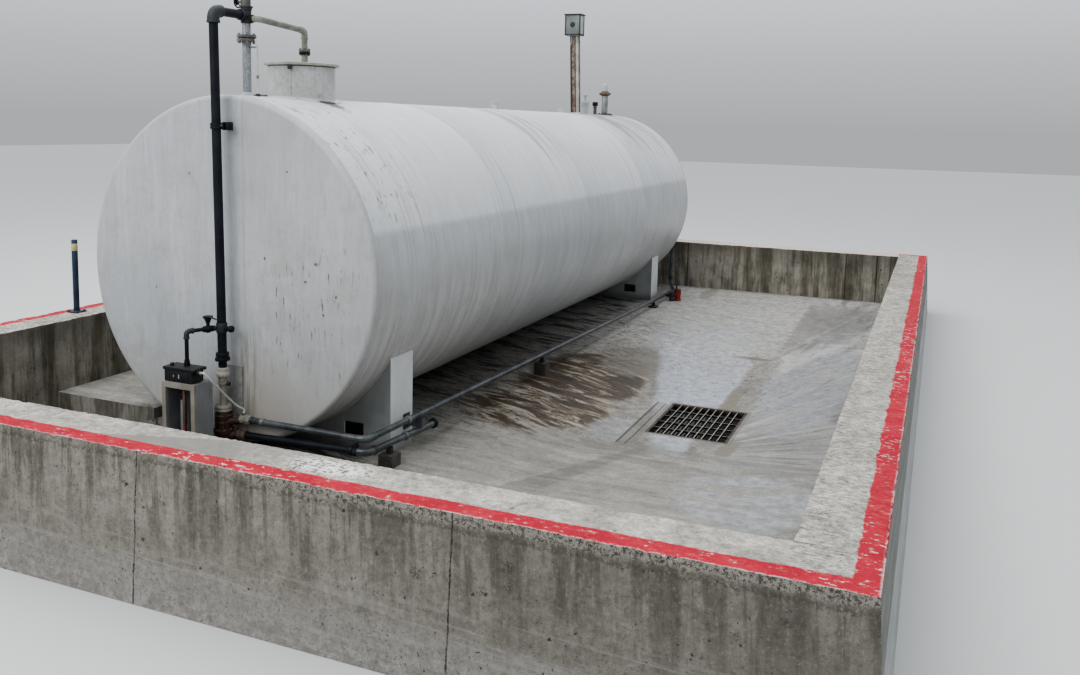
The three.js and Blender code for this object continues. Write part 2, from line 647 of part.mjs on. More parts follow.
function floorPipes() {
  const startX = RISER_X + 150 + GAP;
  place('main_pipe', greyPipe, fuse(
    bentPipe([[startX, RUN_Y, MAIN_FRONT_Z], onMain(RUN_Y), onMain(MAIN_END_Y)], MAIN_RADIUS, 62),
    rod([startX, RUN_Y, MAIN_FRONT_Z], [startX + 46, RUN_Y, MAIN_FRONT_Z], 31),
    rod([startX + 130, RUN_Y, MAIN_FRONT_Z], [startX + 158, RUN_Y, MAIN_FRONT_Z], 27),
    rod(onMain(RUN_Y + 64), onMain(RUN_Y + 92), 26),
    rod(onMain(-3150), onMain(-3120), 29),
    rod(onMain(MAIN_END_Y - 40), onMain(MAIN_END_Y), 31),
  ));
  const lowStart = [RISER_X + 112 + GAP, RUN_Y, LOWER_START_Z];
  const lowLevel = [lowStart[0] + 44, RUN_Y, LOWER_START_Z];
  const corner = onLower(RUN_Y);
  const beforeCorner = (back) => [corner[0] - back, RUN_Y, LOWER_CORNER_Z];
  place('lower_pipe', blackPipe, fuse(
    bentPipe([lowLevel, beforeCorner(140), corner, onLower(LOWER_END_Y)], LOWER_RADIUS, 62),
    rod(lowStart, lowLevel, 34),
    rod(beforeCorner(134), beforeCorner(70), 34),
    rod(onLower(RUN_Y + 60), onLower(RUN_Y + 96), 30),
    rod(onLower(-3190), onLower(-3166), 30),
    rod(onLower(LOWER_END_Y - 14), onLower(LOWER_END_Y + 12), 36),
  ));
}

// Supports that carry the floor pipes: low concrete pads with a steel clip on each

const CLIP_HEIGHT = 46;
const PAD_HALF = 55;

function pipeBracket() {
  const y0 = -3000;
  const y1 = -2960;
  const plateX = TANK_X + FRONT_SADDLE.halfWidth + GAP;
  const armTop = mainZ(y1) - MAIN_RADIUS - GAP;
  const armBottom = lowerZ(y0) + LOWER_RADIUS + GAP;
  place('pipe_bracket', greyPipe, fuse(
    block(plateX, y0 - 20, armBottom - 30, plateX + 8, y1 + 20, armTop + 20),
    block(plateX, y0, armBottom, SIDE_X + 40, y1, armTop),
  ));
}

function pipeSupport(name, x, y, top) {
  const padTop = Math.max(FLOOR_TOP + 16, top - CLIP_HEIGHT);
  place(name, floorConcrete, fuse(
    block(x - PAD_HALF, y - PAD_HALF, FLOOR_TOP + GAP, x + PAD_HALF, y + PAD_HALF, padTop),
    block(x - 20, y - 14, padTop - 4, x + 20, y + 14, top),
  ));
}

function underMain(name, y) {
  pipeSupport(name, SIDE_X, y, mainZ(y + 14) - MAIN_RADIUS - GAP);
}

function underLower(name, y) {
  pipeSupport(name, SIDE_X + 5, y, lowerZ(y + 14) - LOWER_RADIUS - GAP);
}

// Rear end: red drain valve beside the main pipe, and the pipe that rises and enters the tank's rear end

function rearPiping() {
  const stubZ = mainZ(RED_VALVE_Y) + 6;
  const x = RED_VALVE_X;
  const y = RED_VALVE_Y;
  const nearX = x - 62;
  const nearY = y - 70;
  const mainLine = rod(onMain(y - 300), onMain(MAIN_END_Y - 60), clearOf(MAIN_RADIUS));
  place('red_valve', redPaint, fuse(
    upright(x, y, FLOOR_TOP + GAP, 300, 47, 42),
    upright(nearX, nearY, FLOOR_TOP + GAP, 262, 33),
    rod([nearX, nearY, stubZ], [x, y, stubZ], 30),
    rod([SIDE_X, nearY, mainZ(nearY)], [nearX, nearY, stubZ], 24),
    upright(x - 16, y, 296, 352, 12),
    upright(x - 16, y, 350, 364, 50, 50, 20),
  ).subtract(mainLine));
  const inletZ = REAR_RISER_TOP;
  const z = mainZ(MAIN_END_Y + 232);
  place('rear_pipe', greyPipe, fuse(
    bentPipe([onMain(MAIN_END_Y + GAP), onMain(MAIN_END_Y + 232), [REAR_RISER_X, REAR_RISER_Y, z],
      [REAR_RISER_X, REAR_RISER_Y, inletZ], [REAR_RISER_X, TANK_REAR + 20, inletZ]], MAIN_RADIUS, 60),
    rod(onMain(MAIN_END_Y + GAP), onMain(MAIN_END_Y + 30), 31),
    rod([REAR_RISER_X, TANK_REAR + GAP, inletZ], [REAR_RISER_X, TANK_REAR + 24, inletZ], 74, 74, 20),
    upright(REAR_RISER_X, REAR_RISER_Y, z + 58, z + 110, 30),
  ));
}

// Fittings along the top of the tank

function liftingLug(name, y, width, height) {
  const half = width / 2;
  const straight = TANK_TOP + height - half;
  const outline = [[TANK_X - half, TANK_TOP - 12], [TANK_X + half, TANK_TOP - 12]];
  const hole = [];
  const steps = 12;
  for (let i = 0; i <= steps; i += 1) {
    const angle = (i / steps) * Math.PI;
    outline.push([TANK_X + half * Math.cos(angle), straight + half * Math.sin(angle)]);
  }
  for (let i = 0; i < 2 * steps; i += 1) {
    const angle = -(i / steps) * Math.PI;
    hole.push([TANK_X + half * 0.5 * Math.cos(angle), straight + half * 0.5 * Math.sin(angle)]);
  }
  place(name, saddlePaint, onTank(prismAlongY(outline, y - 8, y + 8, [hole])));
}

function gaugeMast() {
  const x = TANK_X - 30;
  const foot = TANK_X + 5;
  const corners = [];
  [[foot, TANK_TOP - 20], [x, POST_TOP]].forEach(([middle, z]) => {
    [-57, 57].forEach((dx) => [-32, 32].forEach((dy) => corners.push([middle + dx, POST_Y + dy, z])));
  });
  const post = solid(new ConvexGeometry(corners.map((c) => new THREE.Vector3(...c))));
  place('mast_post', rustySteel, onTank(fuse(
    post,
    block(foot - 90, POST_Y - 80, TANK_TOP - 30, foot + 90, POST_Y + 80, TANK_TOP + 12),
  )));
  place('mast_box', galvanised, fuse(
    block(x - 116, POST_Y - 80, POST_TOP + GAP, x + 96, POST_Y + 80, POST_TOP + 268),
    block(x - 128, POST_Y - 92, POST_TOP + 256, x + 108, POST_Y + 92, POST_TOP + 272),
  ));
}

function topNozzles() {
  const nozzleY = 3476;
  place('capped_nozzle', tankPaint, onTank(fuse(
    upright(TANK_X, nozzleY, TANK_TOP - 20, TANK_TOP + 118, 50),
    upright(TANK_X, nozzleY, TANK_TOP + 116, TANK_TOP + 168, 60),
    upright(TANK_X, nozzleY, TANK_TOP + 166, TANK_TOP + 236, 18),
    upright(TANK_X, nozzleY, TANK_TOP + 234, TANK_TOP + 262, 30, 22),
  )));
  const ventY = 3885;
  place('vent_valve', greyPipe, onTank(fuse(
    upright(TANK_X, ventY, TANK_TOP - 20, TANK_TOP + 120, 22),
    upright(TANK_X, ventY, TANK_TOP + 118, TANK_TOP + 170, 38, 34),
  )));
  const rearX = TANK_X + 34;
  const rearY = 4190;
  place('rear_standpipe', galvanised, onTank(fuse(
    upright(rearX, rearY, TANK_TOP - 40, TANK_TOP + 270, 44),
    block(rearX - 92, rearY - 92, TANK_TOP - 34, rearX + 92, rearY + 92, TANK_TOP + 14),
    upright(rearX, rearY, TANK_TOP + 266, TANK_TOP + 330, 84, 84, 20),
    upright(rearX, rearY, TANK_TOP + 328, TANK_TOP + 440, 36, 30),
  )));
}

bundWalls();
bundFloor();
sumpAndGrate();
markerPost();
tank();
manway();
saddle('front', FRONT_SADDLE);
saddle('rear', REAR_SADDLE);
riser();
topFittings();
crossover();
branch();
pump();
cabinet();
cable();
floorPipes();
pipeBracket();
underLower('pipe_support_front', -3380);
underMain('pipe_support_middle', -690);
underMain('pipe_support_rear', 3060);
rearPiping();
liftingLug('front_lifting_lug', 646, 76, 100);
liftingLug('rear_lifting_lug', 2583, 60, 56);
gaugeMast();
topNozzles();

export default model;
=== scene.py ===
import math

import bmesh
import bpy
import numpy as np
from mathutils import Matrix, Quaternion, Vector, noise


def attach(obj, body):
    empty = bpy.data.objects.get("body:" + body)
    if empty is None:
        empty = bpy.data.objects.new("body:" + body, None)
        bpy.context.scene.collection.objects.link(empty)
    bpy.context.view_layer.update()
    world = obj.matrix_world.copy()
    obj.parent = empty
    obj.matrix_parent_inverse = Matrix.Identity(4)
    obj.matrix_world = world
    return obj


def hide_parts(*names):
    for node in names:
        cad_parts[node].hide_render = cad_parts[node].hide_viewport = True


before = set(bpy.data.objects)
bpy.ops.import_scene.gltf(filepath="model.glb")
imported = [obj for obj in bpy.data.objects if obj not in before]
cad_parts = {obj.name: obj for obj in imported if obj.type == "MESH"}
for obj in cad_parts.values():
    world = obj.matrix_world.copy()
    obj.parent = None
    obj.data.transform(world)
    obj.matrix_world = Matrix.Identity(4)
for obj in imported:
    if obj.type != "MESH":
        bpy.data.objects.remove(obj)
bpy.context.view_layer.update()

UP = Vector((0, 0, 1))
RIGHT = Vector((1, 0, 0))
REAR = Vector((0, 1, 0))

# Main sizes, in millimetres, as in the part
HALF_WIDTH = 3360
HALF_LENGTH = 5270
WALL_BATTER = 50
WALL_TOP = 790
INNER_X = 3000
INNER_Y = 4920
FRONT_JOINTS = (-1936.0, -158.0, 1620.0)
GRATE_X = 1755
GRATE_Y = -1210
GRATE_TOP = 55
GRATE_HALF_X = 323
GRATE_HALF_Y = 438
TANK_RADIUS = 1200
TANK_X = -1020
TANK_Z = 1400
TANK_TOP = TANK_Z + TANK_RADIUS
TANK_FRONT = -3600
TANK_REAR = 4550
MANWAY_Y = -2730
MANWAY_RADIUS = 245
MANWAY_TOP = 2838
MANWAY_SIDES = 96
LID_RADIUS = 277
RISER_X = -972
RISER_Y = -3700
RISER_FOOT = 832
RISER_LEAN = 28
PIPE = 30
TEE_Y = -3350
TEE_Z = 3145
UNION_REACH = 62
RUN_Y = -3655
SIDE_X = 147
MAIN_RADIUS = 22
MAIN_FRONT_Z = 400
MAIN_REAR_Z = 206
MAIN_END_Y = 3860
LOWER_RADIUS = 24
LOWER_START_Z = 288
LOWER_CORNER_Z = 312
LOWER_END_Z = 262
LOWER_END_Y = -2775
POST_Y = 3110
POST_TOP = 3600


# Camera, as fitted to the photograph: place in metres, angles in radians, focal length in millimetres

CAMERA_PLACE = (3.454, -8.783, 2.451)
CAMERA_YAW = -0.393
CAMERA_PITCH = 0.122
CAMERA_ROLL = 0.023
CAMERA_LENS = 32.03
CAMERA_SHIFT = -0.0885


def make_camera():
    level = math.cos(CAMERA_PITCH)
    ahead = Vector((math.sin(CAMERA_YAW) * level, math.cos(CAMERA_YAW) * level, -math.sin(CAMERA_PITCH)))
    side = Vector((math.cos(CAMERA_YAW), -math.sin(CAMERA_YAW), 0.0))
    above = side.cross(ahead)
    right = side * math.cos(CAMERA_ROLL) + above * math.sin(CAMERA_ROLL)
    up = above * math.cos(CAMERA_ROLL) - side * math.sin(CAMERA_ROLL)
    data = bpy.data.cameras.new("photo_camera")
    camera = bpy.data.objects.new("photo_camera", data)
    bpy.context.scene.collection.objects.link(camera)
    turn = Matrix((right, up, -ahead)).transposed().to_4x4()
    camera.matrix_world = Matrix.Translation(CAMERA_PLACE) @ turn
    data.sensor_width = 36.0
    data.lens = CAMERA_LENS
    data.shift_y = CAMERA_SHIFT
    data.clip_start = 0.05
    data.clip_end = 200.0
    bpy.context.scene.camera = camera


make_camera()


# Material helpers

class Field:
    """A value or colour over a surface: one output of a node, for use in sums, products and comparisons."""

    def __init__(self, nodes, socket):
        self.nodes = nodes
        self.socket = socket

    def __add__(self, other):
        return self.nodes.math("ADD", self, other)

    def __radd__(self, other):
        return self.nodes.math("ADD", other, self)

    def __sub__(self, other):
        return self.nodes.math("SUBTRACT", self, other)

    def __rsub__(self, other):
        return self.nodes.math("SUBTRACT", other, self)

    def __mul__(self, other):
        return self.nodes.math("MULTIPLY", self, other)

    def __pow__(self, other):
        return self.nodes.math("POWER", self, other)

    def __abs__(self):
        return self.nodes.math("ABSOLUTE", self)

    def __lt__(self, other):
        return self.nodes.math("LESS_THAN", self, other)

    def __gt__(self, other):
        return self.nodes.math("GREATER_THAN", self, other)


class Nodes:
    """Builds a material's node tree with short calls."""

    def __init__(self, name):
        self.material = bpy.data.materials.new(name)
        self.material.use_nodes = True
        self.tree = self.material.node_tree
        self.tree.nodes.clear()
        self.shader = self.tree.nodes.new("ShaderNodeBsdfPrincipled")
        out = self.tree.nodes.new("ShaderNodeOutputMaterial")
        self.tree.links.new(self.shader.outputs["BSDF"], out.inputs["Surface"])
        self.coordinates = self.made("TexCoord", {}, "Object")
        self.x, self.y, self.z = self.split(self.coordinates)

    def put(self, socket, value):
        if isinstance(value, Field):
            self.tree.links.new(value.socket, socket)
        elif isinstance(value, tuple) and len(value) == 3 and socket.type == "RGBA":
            socket.default_value = (*value, 1.0)
        else:
            socket.default_value = value

    def made(self, kind, inputs, output=0, **settings):
        """One output of a new node, after its settings and inputs are filled in."""
        node = self.tree.nodes.new("ShaderNode" + kind)
        for name, value in settings.items():
            setattr(node, name, value)
        for name, value in inputs.items():
            self.put(node.inputs[name], value)
        return Field(self, node.outputs[output])

    def split(self, vector):
        node = self.tree.nodes.new("ShaderNodeSeparateXYZ")
        self.put(node.inputs[0], vector)
        return [Field(self, output) for output in node.outputs]

    def facing(self):
        """The parts of the surface's normal along x, y and z."""
        return self.split(self.made("NewGeometry", {}, "Normal"))

    def math(self, operation, *values):
        return self.made("Math", dict(enumerate(values)), operation=operation)

    def most(self, a, b):
        return self.math("MAXIMUM", a, b)

    def least(self, a, b):
        return self.math("MINIMUM", a, b)

    def length(self, a, b):
        return self.math("SQRT", a * a + b * b)

    def away(self, a, b, middle_a, middle_b, reach_a=1.0, reach_b=1.0):
        """Distance from a middle, where 1 is the rim of an ellipse with those reaches."""
        return self.length((a - middle_a) * (1 / reach_a), (b - middle_b) * (1 / reach_b))

    def any_of(self, fields):
        """The largest of several values."""
        whole = fields[0]
        for field in fields[1:]:
            whole = self.most(whole, field)
        return whole

    def ramp(self, value, low, high):
        """0 below low and 1 above high; low may be above high to turn it round."""
        start, end = (0.0, 1.0) if low < high else (1.0, 0.0)
        limits = {"From Min": min(low, high), "From Max": max(low, high), "To Min": start, "To Max": end}
        return self.made("MapRange", {"Value": value, **limits}, interpolation_type="SMOOTHSTEP")

    def band(self, value, low, high, soft):
        """1 between low and high, with soft edges."""
        return self.ramp(value, low - soft, low + soft) * self.ramp(value, high + soft, high - soft)

    def join(self, x, y, z):
        return self.made("CombineXYZ", {0: x, 1: y, 2: z})

    def scaled(self, sx, sy, sz, offset=(0, 0, 0)):
        return self.made("Mapping", {"Vector": self.coordinates, "Scale": (sx, sy, sz), "Location": offset})

    def noise(self, vector, scale, detail=4.0, rough=0.55, distortion=0.0):
        return self.made("TexNoise", {"Vector": vector, "Scale": scale, "Detail": detail,
                                      "Roughness": rough, "Distortion": distortion})

    def cloud(self, scale, detail=4.0, rough=0.55, distortion=0.0):
        """Noise over the object's own coordinates."""
        return self.noise(self.coordinates, scale, detail, rough, distortion)

    def cells(self, vector, scale):
        return self.made("TexVoronoi", {"Vector": vector, "Scale": scale}, "Distance")

    def mix(self, share, a, b):
        """Colour a, and colour b where share is 1."""
        return self.made("Mix", {0: share, 6: a, 7: b}, 2, data_type="RGBA")

    def moved(self, offset, reach):
        """The object's coordinates, moved by an offset times reach."""
        inputs = {0: offset, 1: (reach, reach, reach), 2: self.coordinates}
        return self.made("VectorMath", inputs, operation="MULTIPLY_ADD")

    def scale(self, vector, factor):
        return self.made("VectorMath", {0: vector, "Scale": factor}, operation="SCALE")

    def shade(self, color, value, low, high, spread=0.15):
        """Darkens or lightens a colour by a noise value around one half."""
        limits = {"From Min": 0.5 - spread, "From Max": 0.5 + spread, "To Min": low, "To Max": high}
        return self.scale(color, self.made("MapRange", {"Value": value, **limits}))

    def bump(self, height, distance, strength=1.0):
        return self.made("Bump", {"Strength": strength, "Distance": distance, "Height": height})

    def finish(self, color, roughness, normal=None, metallic=0.0, specular=0.5):
        values = {"Base Color": color, "Roughness": roughness, "Metallic": metallic,
                  "Specular IOR Level": specular}
        if normal is not None:
            values["Normal"] = normal
        for name, value in values.items():
            self.put(self.shader.inputs[name], value)
        return self.material


# Concrete of the walls: pale weathered tops with a worn red stripe, stained and pitted faces, with painted
# shade in the pits and under the broken lip

def bund_concrete():
    n = Nodes("bund_concrete")
    nx, _, nz = n.facing()
    top = n.ramp(nz, 0.45, 0.75) * n.ramp(n.z, 0.766, 0.778)
    wide = n.cloud(0.9, 4, 0.6)
    mid = n.cloud(4.6, 5, 0.65)
    clots = n.cloud(17.0, 5, 0.72)
    fine = n.cloud(62.0, 4, 0.78)
    grit = n.noise(n.scaled(1, 1, 1, (9, 9, 9)), 170.0, 3, 0.75)
    along = n.x + n.y

    specks = n.noise(n.scaled(1, 1, 1, (2, 7, 0)), 30.0, 3, 0.62)
    pale = n.mix(n.ramp(mid, 0.38, 0.62), (0.375, 0.352, 0.31), (0.5, 0.475, 0.43))
    pale = n.mix(n.ramp(wide, 0.48, 0.62) * 0.5, pale, (0.35, 0.33, 0.29))
    strokes = n.noise(n.scaled(10, 75, 0), 1.0, 6, 0.74)
    side_wall = abs(n.x) > INNER_X / 1000
    pale = n.shade(pale, strokes * side_wall + clots * (1.0 - side_wall), 1.16, 0.8)
    pale = n.shade(pale, (specks - 0.5) * (0.55 + side_wall * 0.45) + 0.5, 1.24, 0.72, 0.11)
    pale = n.shade(pale, fine, 1.16, 0.82, 0.1)
    torn_top = n.ramp(strokes, 0.53, 0.57) * n.ramp(clots, 0.46, 0.52) * side_wall
    pale = n.mix(torn_top * 0.75, pale, (0.16, 0.145, 0.12))
    pale = n.mix(n.ramp(grit, 0.56, 0.64) * 0.45, pale, (0.17, 0.16, 0.135))
    gouge = n.noise(n.scaled(22, 60, 0, (0, 0, 4)), 1.0, 5, 0.7)
    gouges = n.ramp(gouge, 0.6, 0.625) * (0.3 + side_wall * 0.7)
    pale = n.mix(gouges * 0.9, pale, (0.055, 0.047, 0.037))
    cracked = n.noise(n.scaled(0.7, 4.2, 0, (0, 0, 7)), 1.0, 4, 0.66)
    cracks = n.ramp(abs(cracked - 0.5), 0.011, 0.004) * side_wall
    cracks = cracks * n.ramp(n.y, 0.5, 1.2)
    pale = n.mix(cracks * 0.8, pale, (0.16, 0.07, 0.055))
    newer = n.ramp(n.x - (n.y + 5.0) * 3.3, -0.05, -0.02)
    newer = newer * n.ramp(n.x + mid * 0.3, 0.75, 0.35) * (n.y < -4.9)
    pale = n.mix(newer * 0.8, pale, (0.225, 0.212, 0.19))
    splash = n.noise(n.scaled(1, 1, 1, (4, 2, 0)), 44.0, 5, 0.75)
    from_splash = n.away(n.x, n.y, 0.85, -5.05, 1 / 2.1, 1 / 5.2)
    splashed = n.ramp(from_splash + mid * 0.5, 0.9, 0.45) * n.ramp(splash, 0.44, 0.52)
    pale = n.mix(splashed * 0.9, pale, (0.86, 0.85, 0.83))
    speckled = n.ramp(from_splash + mid * 0.5, 1.0, 0.6) * n.ramp(splash, 0.45, 0.42)
    pale = n.mix(speckled * 0.8, pale, (0.1, 0.092, 0.08))

    runs = n.noise(n.join(along * 5.5, n.x * 0.7, n.z * 0.9), 1.0, 5, 0.66)
    thin = n.noise(n.join(along * 21.0, n.x * 2.0, n.z * 1.6), 1.0, 5, 0.7)
    hung = n.ramp(n.z + runs * 0.5, 0.42, 0.98)
    face = n.mix(n.ramp(mid, 0.3, 0.7), (0.175, 0.16, 0.137), (0.245, 0.228, 0.198))
    face = n.mix(n.ramp(thin, 0.52, 0.34) * 0.4, face, (0.285, 0.268, 0.235))
    face = n.mix(n.ramp(runs, 0.48, 0.56) * hung * 0.7, face, (0.085, 0.082, 0.064))
    face = n.mix(n.ramp(thin, 0.51, 0.59) * hung * 0.6, face, (0.07, 0.064, 0.05))
    face = n.mix(n.ramp(n.x, 0.2, 3.0) * 0.42, face, (0.095, 0.088, 0.074))
    face = n.mix(n.ramp(n.z + mid * 0.12, 0.34, 0.27) * 0.5, face, (0.255, 0.243, 0.228))
    bloom = n.ramp(n.z + clots * 0.3, 0.36, 0.2) * n.ramp(clots, 0.5, 0.6)
    face = n.mix(bloom * 0.6, face, (0.42, 0.41, 0.39))
    face = n.mix(n.ramp(clots, 0.52, 0.7) * 0.5, face, (0.1, 0.092, 0.076))
    face = n.mix(n.ramp(fine, 0.56, 0.66) * 0.6, face, (0.065, 0.058, 0.047))
    face = n.mix(n.ramp(fine, 0.42, 0.36) * 0.28, face, (0.34, 0.325, 0.285))
    face = n.mix(n.ramp(grit, 0.57, 0.68) * 0.6, face, (0.07, 0.064, 0.053))

    face = n.shade(face, n.noise(n.scaled(1, 1, 1, (8, 3, 5)), 26.0, 4, 0.7), 1.12, 0.8)
    drift = n.noise(n.join(n.x * 1.3, 0.0, (n.z + n.x * 0.05) * 34.0), 1.0, 4, 0.6)
    drifted = n.ramp(drift, 0.54, 0.6) * n.ramp(n.z + wide * 0.2, 0.5, 0.42)
    face = n.mix(drifted * 0.22, face, (0.34, 0.33, 0.31))
    right_part = n.ramp(n.x + wide * 1.2, 0.6, 1.7)
    # Along the broken lip, dark crumbs are dark grit and painted shade in the broken arris; the dark band
    # just under the lip is a painted shadow of the lip, with pitting.
    lip_low = n.z + ((clots - 0.5) * 0.055 + (fine - 0.5) * 0.05)
    lip = n.ramp(lip_low + right_part * 0.03, 0.762, 0.778) * n.ramp(n.z, 0.9, 0.8)
    crumb = (specks - 0.5) * 0.15 + (fine + (grit - 0.5) * 0.6)
    crumbs_and_shade = n.mix(n.ramp(crumb, 0.46, 0.58), (0.25, 0.235, 0.205), (0.055, 0.049, 0.04))
    face = n.mix(lip * (0.45 + right_part * 0.4), face, crumbs_and_shade)
    shadow_under_lip = n.band(lip_low + right_part * 0.03, 0.735, 0.758, 0.008) * 0.55
    face = n.mix(shadow_under_lip * n.ramp(fine, 0.42, 0.52), face, (0.055, 0.05, 0.04))

    inner = (abs(n.x) < (HALF_WIDTH - 20) / 1000) * (abs(n.y) < (HALF_LENGTH - 20) / 1000)
    stain = n.noise(n.join(along * 8.0, n.x * 1.0, n.z * 0.8), 1.0, 6, 0.68)
    damp = n.mix(n.ramp(stain, 0.4, 0.6), (0.27, 0.255, 0.215), (0.12, 0.108, 0.083))
    damp = n.shade(damp, mid, 1.25, 0.7)
    damp = n.mix(n.ramp(thin, 0.54, 0.68) * 0.75, damp, (0.045, 0.038, 0.028))
    damp = n.mix(n.ramp(thin, 0.42, 0.32) * 0.5, damp, (0.33, 0.315, 0.275))
    damp = n.mix(n.ramp(n.z + stain * 0.2, 0.62, 0.86) * 0.5, damp, (0.06, 0.055, 0.042))
    damp = n.mix(n.ramp(fine, 0.55, 0.66) * 0.5, damp, (0.05, 0.045, 0.035))
    seams = [n.band(abs(n.x - place), -1.0, 0.008, 0.004) for place in (-1.1, 0.12, 2.334, 2.736)]
    seams = n.any_of(seams) * (n.y > 4.9)
    damp = n.mix(seams * 0.8, damp, (0.03, 0.027, 0.022))
    face = n.mix(inner, face, damp)

    right_face = (nx > 0.7) * (n.x > 3.2)
    drawn = n.noise(n.join(n.z * 26.0, n.y * 1.2, 0.0), 1.0, 4, 0.6)
    smooth_low = n.mix(n.ramp(drawn, 0.3, 0.7), (0.29, 0.3, 0.295), (0.43, 0.44, 0.435))
    upper = n.mix(n.ramp(drawn, 0.3, 0.7), (0.135, 0.145, 0.13), (0.24, 0.25, 0.235))
    tone = n.mix(n.ramp(n.z, 0.38, 0.44), smooth_low, upper)
    face = n.mix(right_face, face, tone)

    bow = n.x + (mid - 0.5) * 0.03
    off = [abs(bow - place / 1000) + (fine - 0.5) * 0.03 for place in FRONT_JOINTS[1:]]
    joint = n.any_of([n.ramp(distance, 0.0045, 0.002) for distance in off]) * (n.y < -5.2)
    face = n.mix(joint * (0.35 + n.ramp(clots, 0.45, 0.53) * 0.5), face, (0.024, 0.021, 0.017))

    # Pits and spalls are painted near-black: painted shade inside the holes.
    warped = n.moved(n.join(n.cloud(24.0, 4, 0.7), clots, fine), 0.05)
    holes = n.cells(warped, 12.5)
    sized = n.cloud(9.0, 2, 0.5)
    pit_shade = n.ramp(holes, 0.15, 0.1) * n.ramp(sized, 0.575, 0.6)
    tiny = n.ramp(n.cells(warped, 30.0), 0.2, 0.13) * n.ramp(mid, 0.555, 0.59)
    pit_shade = n.most(pit_shade, tiny * (1.0 - top * 0.4))
    spots = []
    for sx, sz, size in ((1.885, 0.6, 0.05), (1.9, 0.52, 0.034), (1.45, 0.49, 0.055), (1.78, 0.47, 0.045),
                         (3.04, 0.62, 0.035), (2.72, 0.48, 0.025), (1.25, 0.36, 0.03), (-0.7, 0.62, 0.022)):
        torn = (fine - 0.5) * (size * 5.0) + (specks - 0.5) * (size * 4.0)
        spots.append(n.ramp(n.length(n.x - sx, n.z - sz) + torn, size, size * 0.6))
    spall = n.any_of(spots) * n.ramp(fine + specks, 0.98, 1.03) * (n.y < -5.2)
    pit_shade = n.most(pit_shade, spall * 0.8)
    face = n.mix(pit_shade * 0.85, face, (0.022, 0.019, 0.016))
    pale = n.mix(pit_shade * 0.7, pale, (0.06, 0.052, 0.043))
    color = n.mix(top, face, pale)

    across = n.least(HALF_WIDTH / 1000 - abs(n.x), HALF_LENGTH / 1000 - abs(n.y))
    ragged = across + ((clots - 0.5) * 0.028 + (mid - 0.5) * 0.05)
    stripe = n.ramp(ragged, 0.112, 0.104)
    flecks = n.noise(n.scaled(24, 44, 30), 1.0, 4, 0.68)
    corner = n.ramp(n.x, 2.7, 3.3) * n.ramp(n.y, -4.2, -5.1)
    patchy = flecks + (wide - 0.5) * 0.4 + corner * 0.06
    kept = n.ramp(patchy, 0.654, 0.636)
    edge_kept = n.ramp(across + fine * 0.03, 0.012, 0.026)
    over = n.ramp(n.z + (clots - 0.5) * 0.12, 0.752, 0.775) * right_face
    on_top = stripe * kept * (top * edge_kept)
    red_share = n.most(on_top, over * n.ramp(flecks, 0.56, 0.5))
    near_rear = (n.y > INNER_Y / 1000) * (n.x < INNER_X / 1000)
    red_share = red_share * (1.0 - near_rear * 0.8)
    red = n.mix(n.ramp(mid, 0.38, 0.62), (0.42, 0.02, 0.037), (0.49, 0.03, 0.05))
    red = n.shade(red, fine, 1.12, 0.84)
    red = n.mix(n.ramp(flecks, 0.53, 0.6) * 0.25, red, (0.6, 0.17, 0.16))
    color = n.mix(stripe * top * n.ramp(patchy, 0.636, 0.66), color, (0.58, 0.52, 0.485))
    color = n.mix(red_share, color, red)
    worn_rim = top * n.ramp(across + fine * 0.03, 0.03, 0.016)
    color = n.mix(worn_rim * 0.5, color, (0.62, 0.57, 0.53))
    pink = near_rear * (top * 0.5)
    color = n.mix(pink, color, (0.78, 0.62, 0.58))

    height = clots * 0.55 + fine * 0.48
    roughness = 0.76 + fine * 0.2
    return n.finish(color, roughness, n.bump(height, 0.011, 0.8), specular=0.3)


# Concrete of the floor: trowelled, with wet patches and a painted sky reflection on them, painted shade under
# the tank and in the sump pit, dark run-off and brown oil towards the sump

def over_grate(n, margin, soft):
    """1 inside the grate's outline less a margin in millimetres."""
    reach_x = GRATE_HALF_X - margin
    reach_y = GRATE_HALF_Y - margin
    across = n.band(n.x, (GRATE_X - reach_x) / 1000, (GRATE_X + reach_x) / 1000, soft)
    return across * n.band(n.y, (GRATE_Y - reach_y) / 1000, (GRATE_Y + reach_y) / 1000, soft)


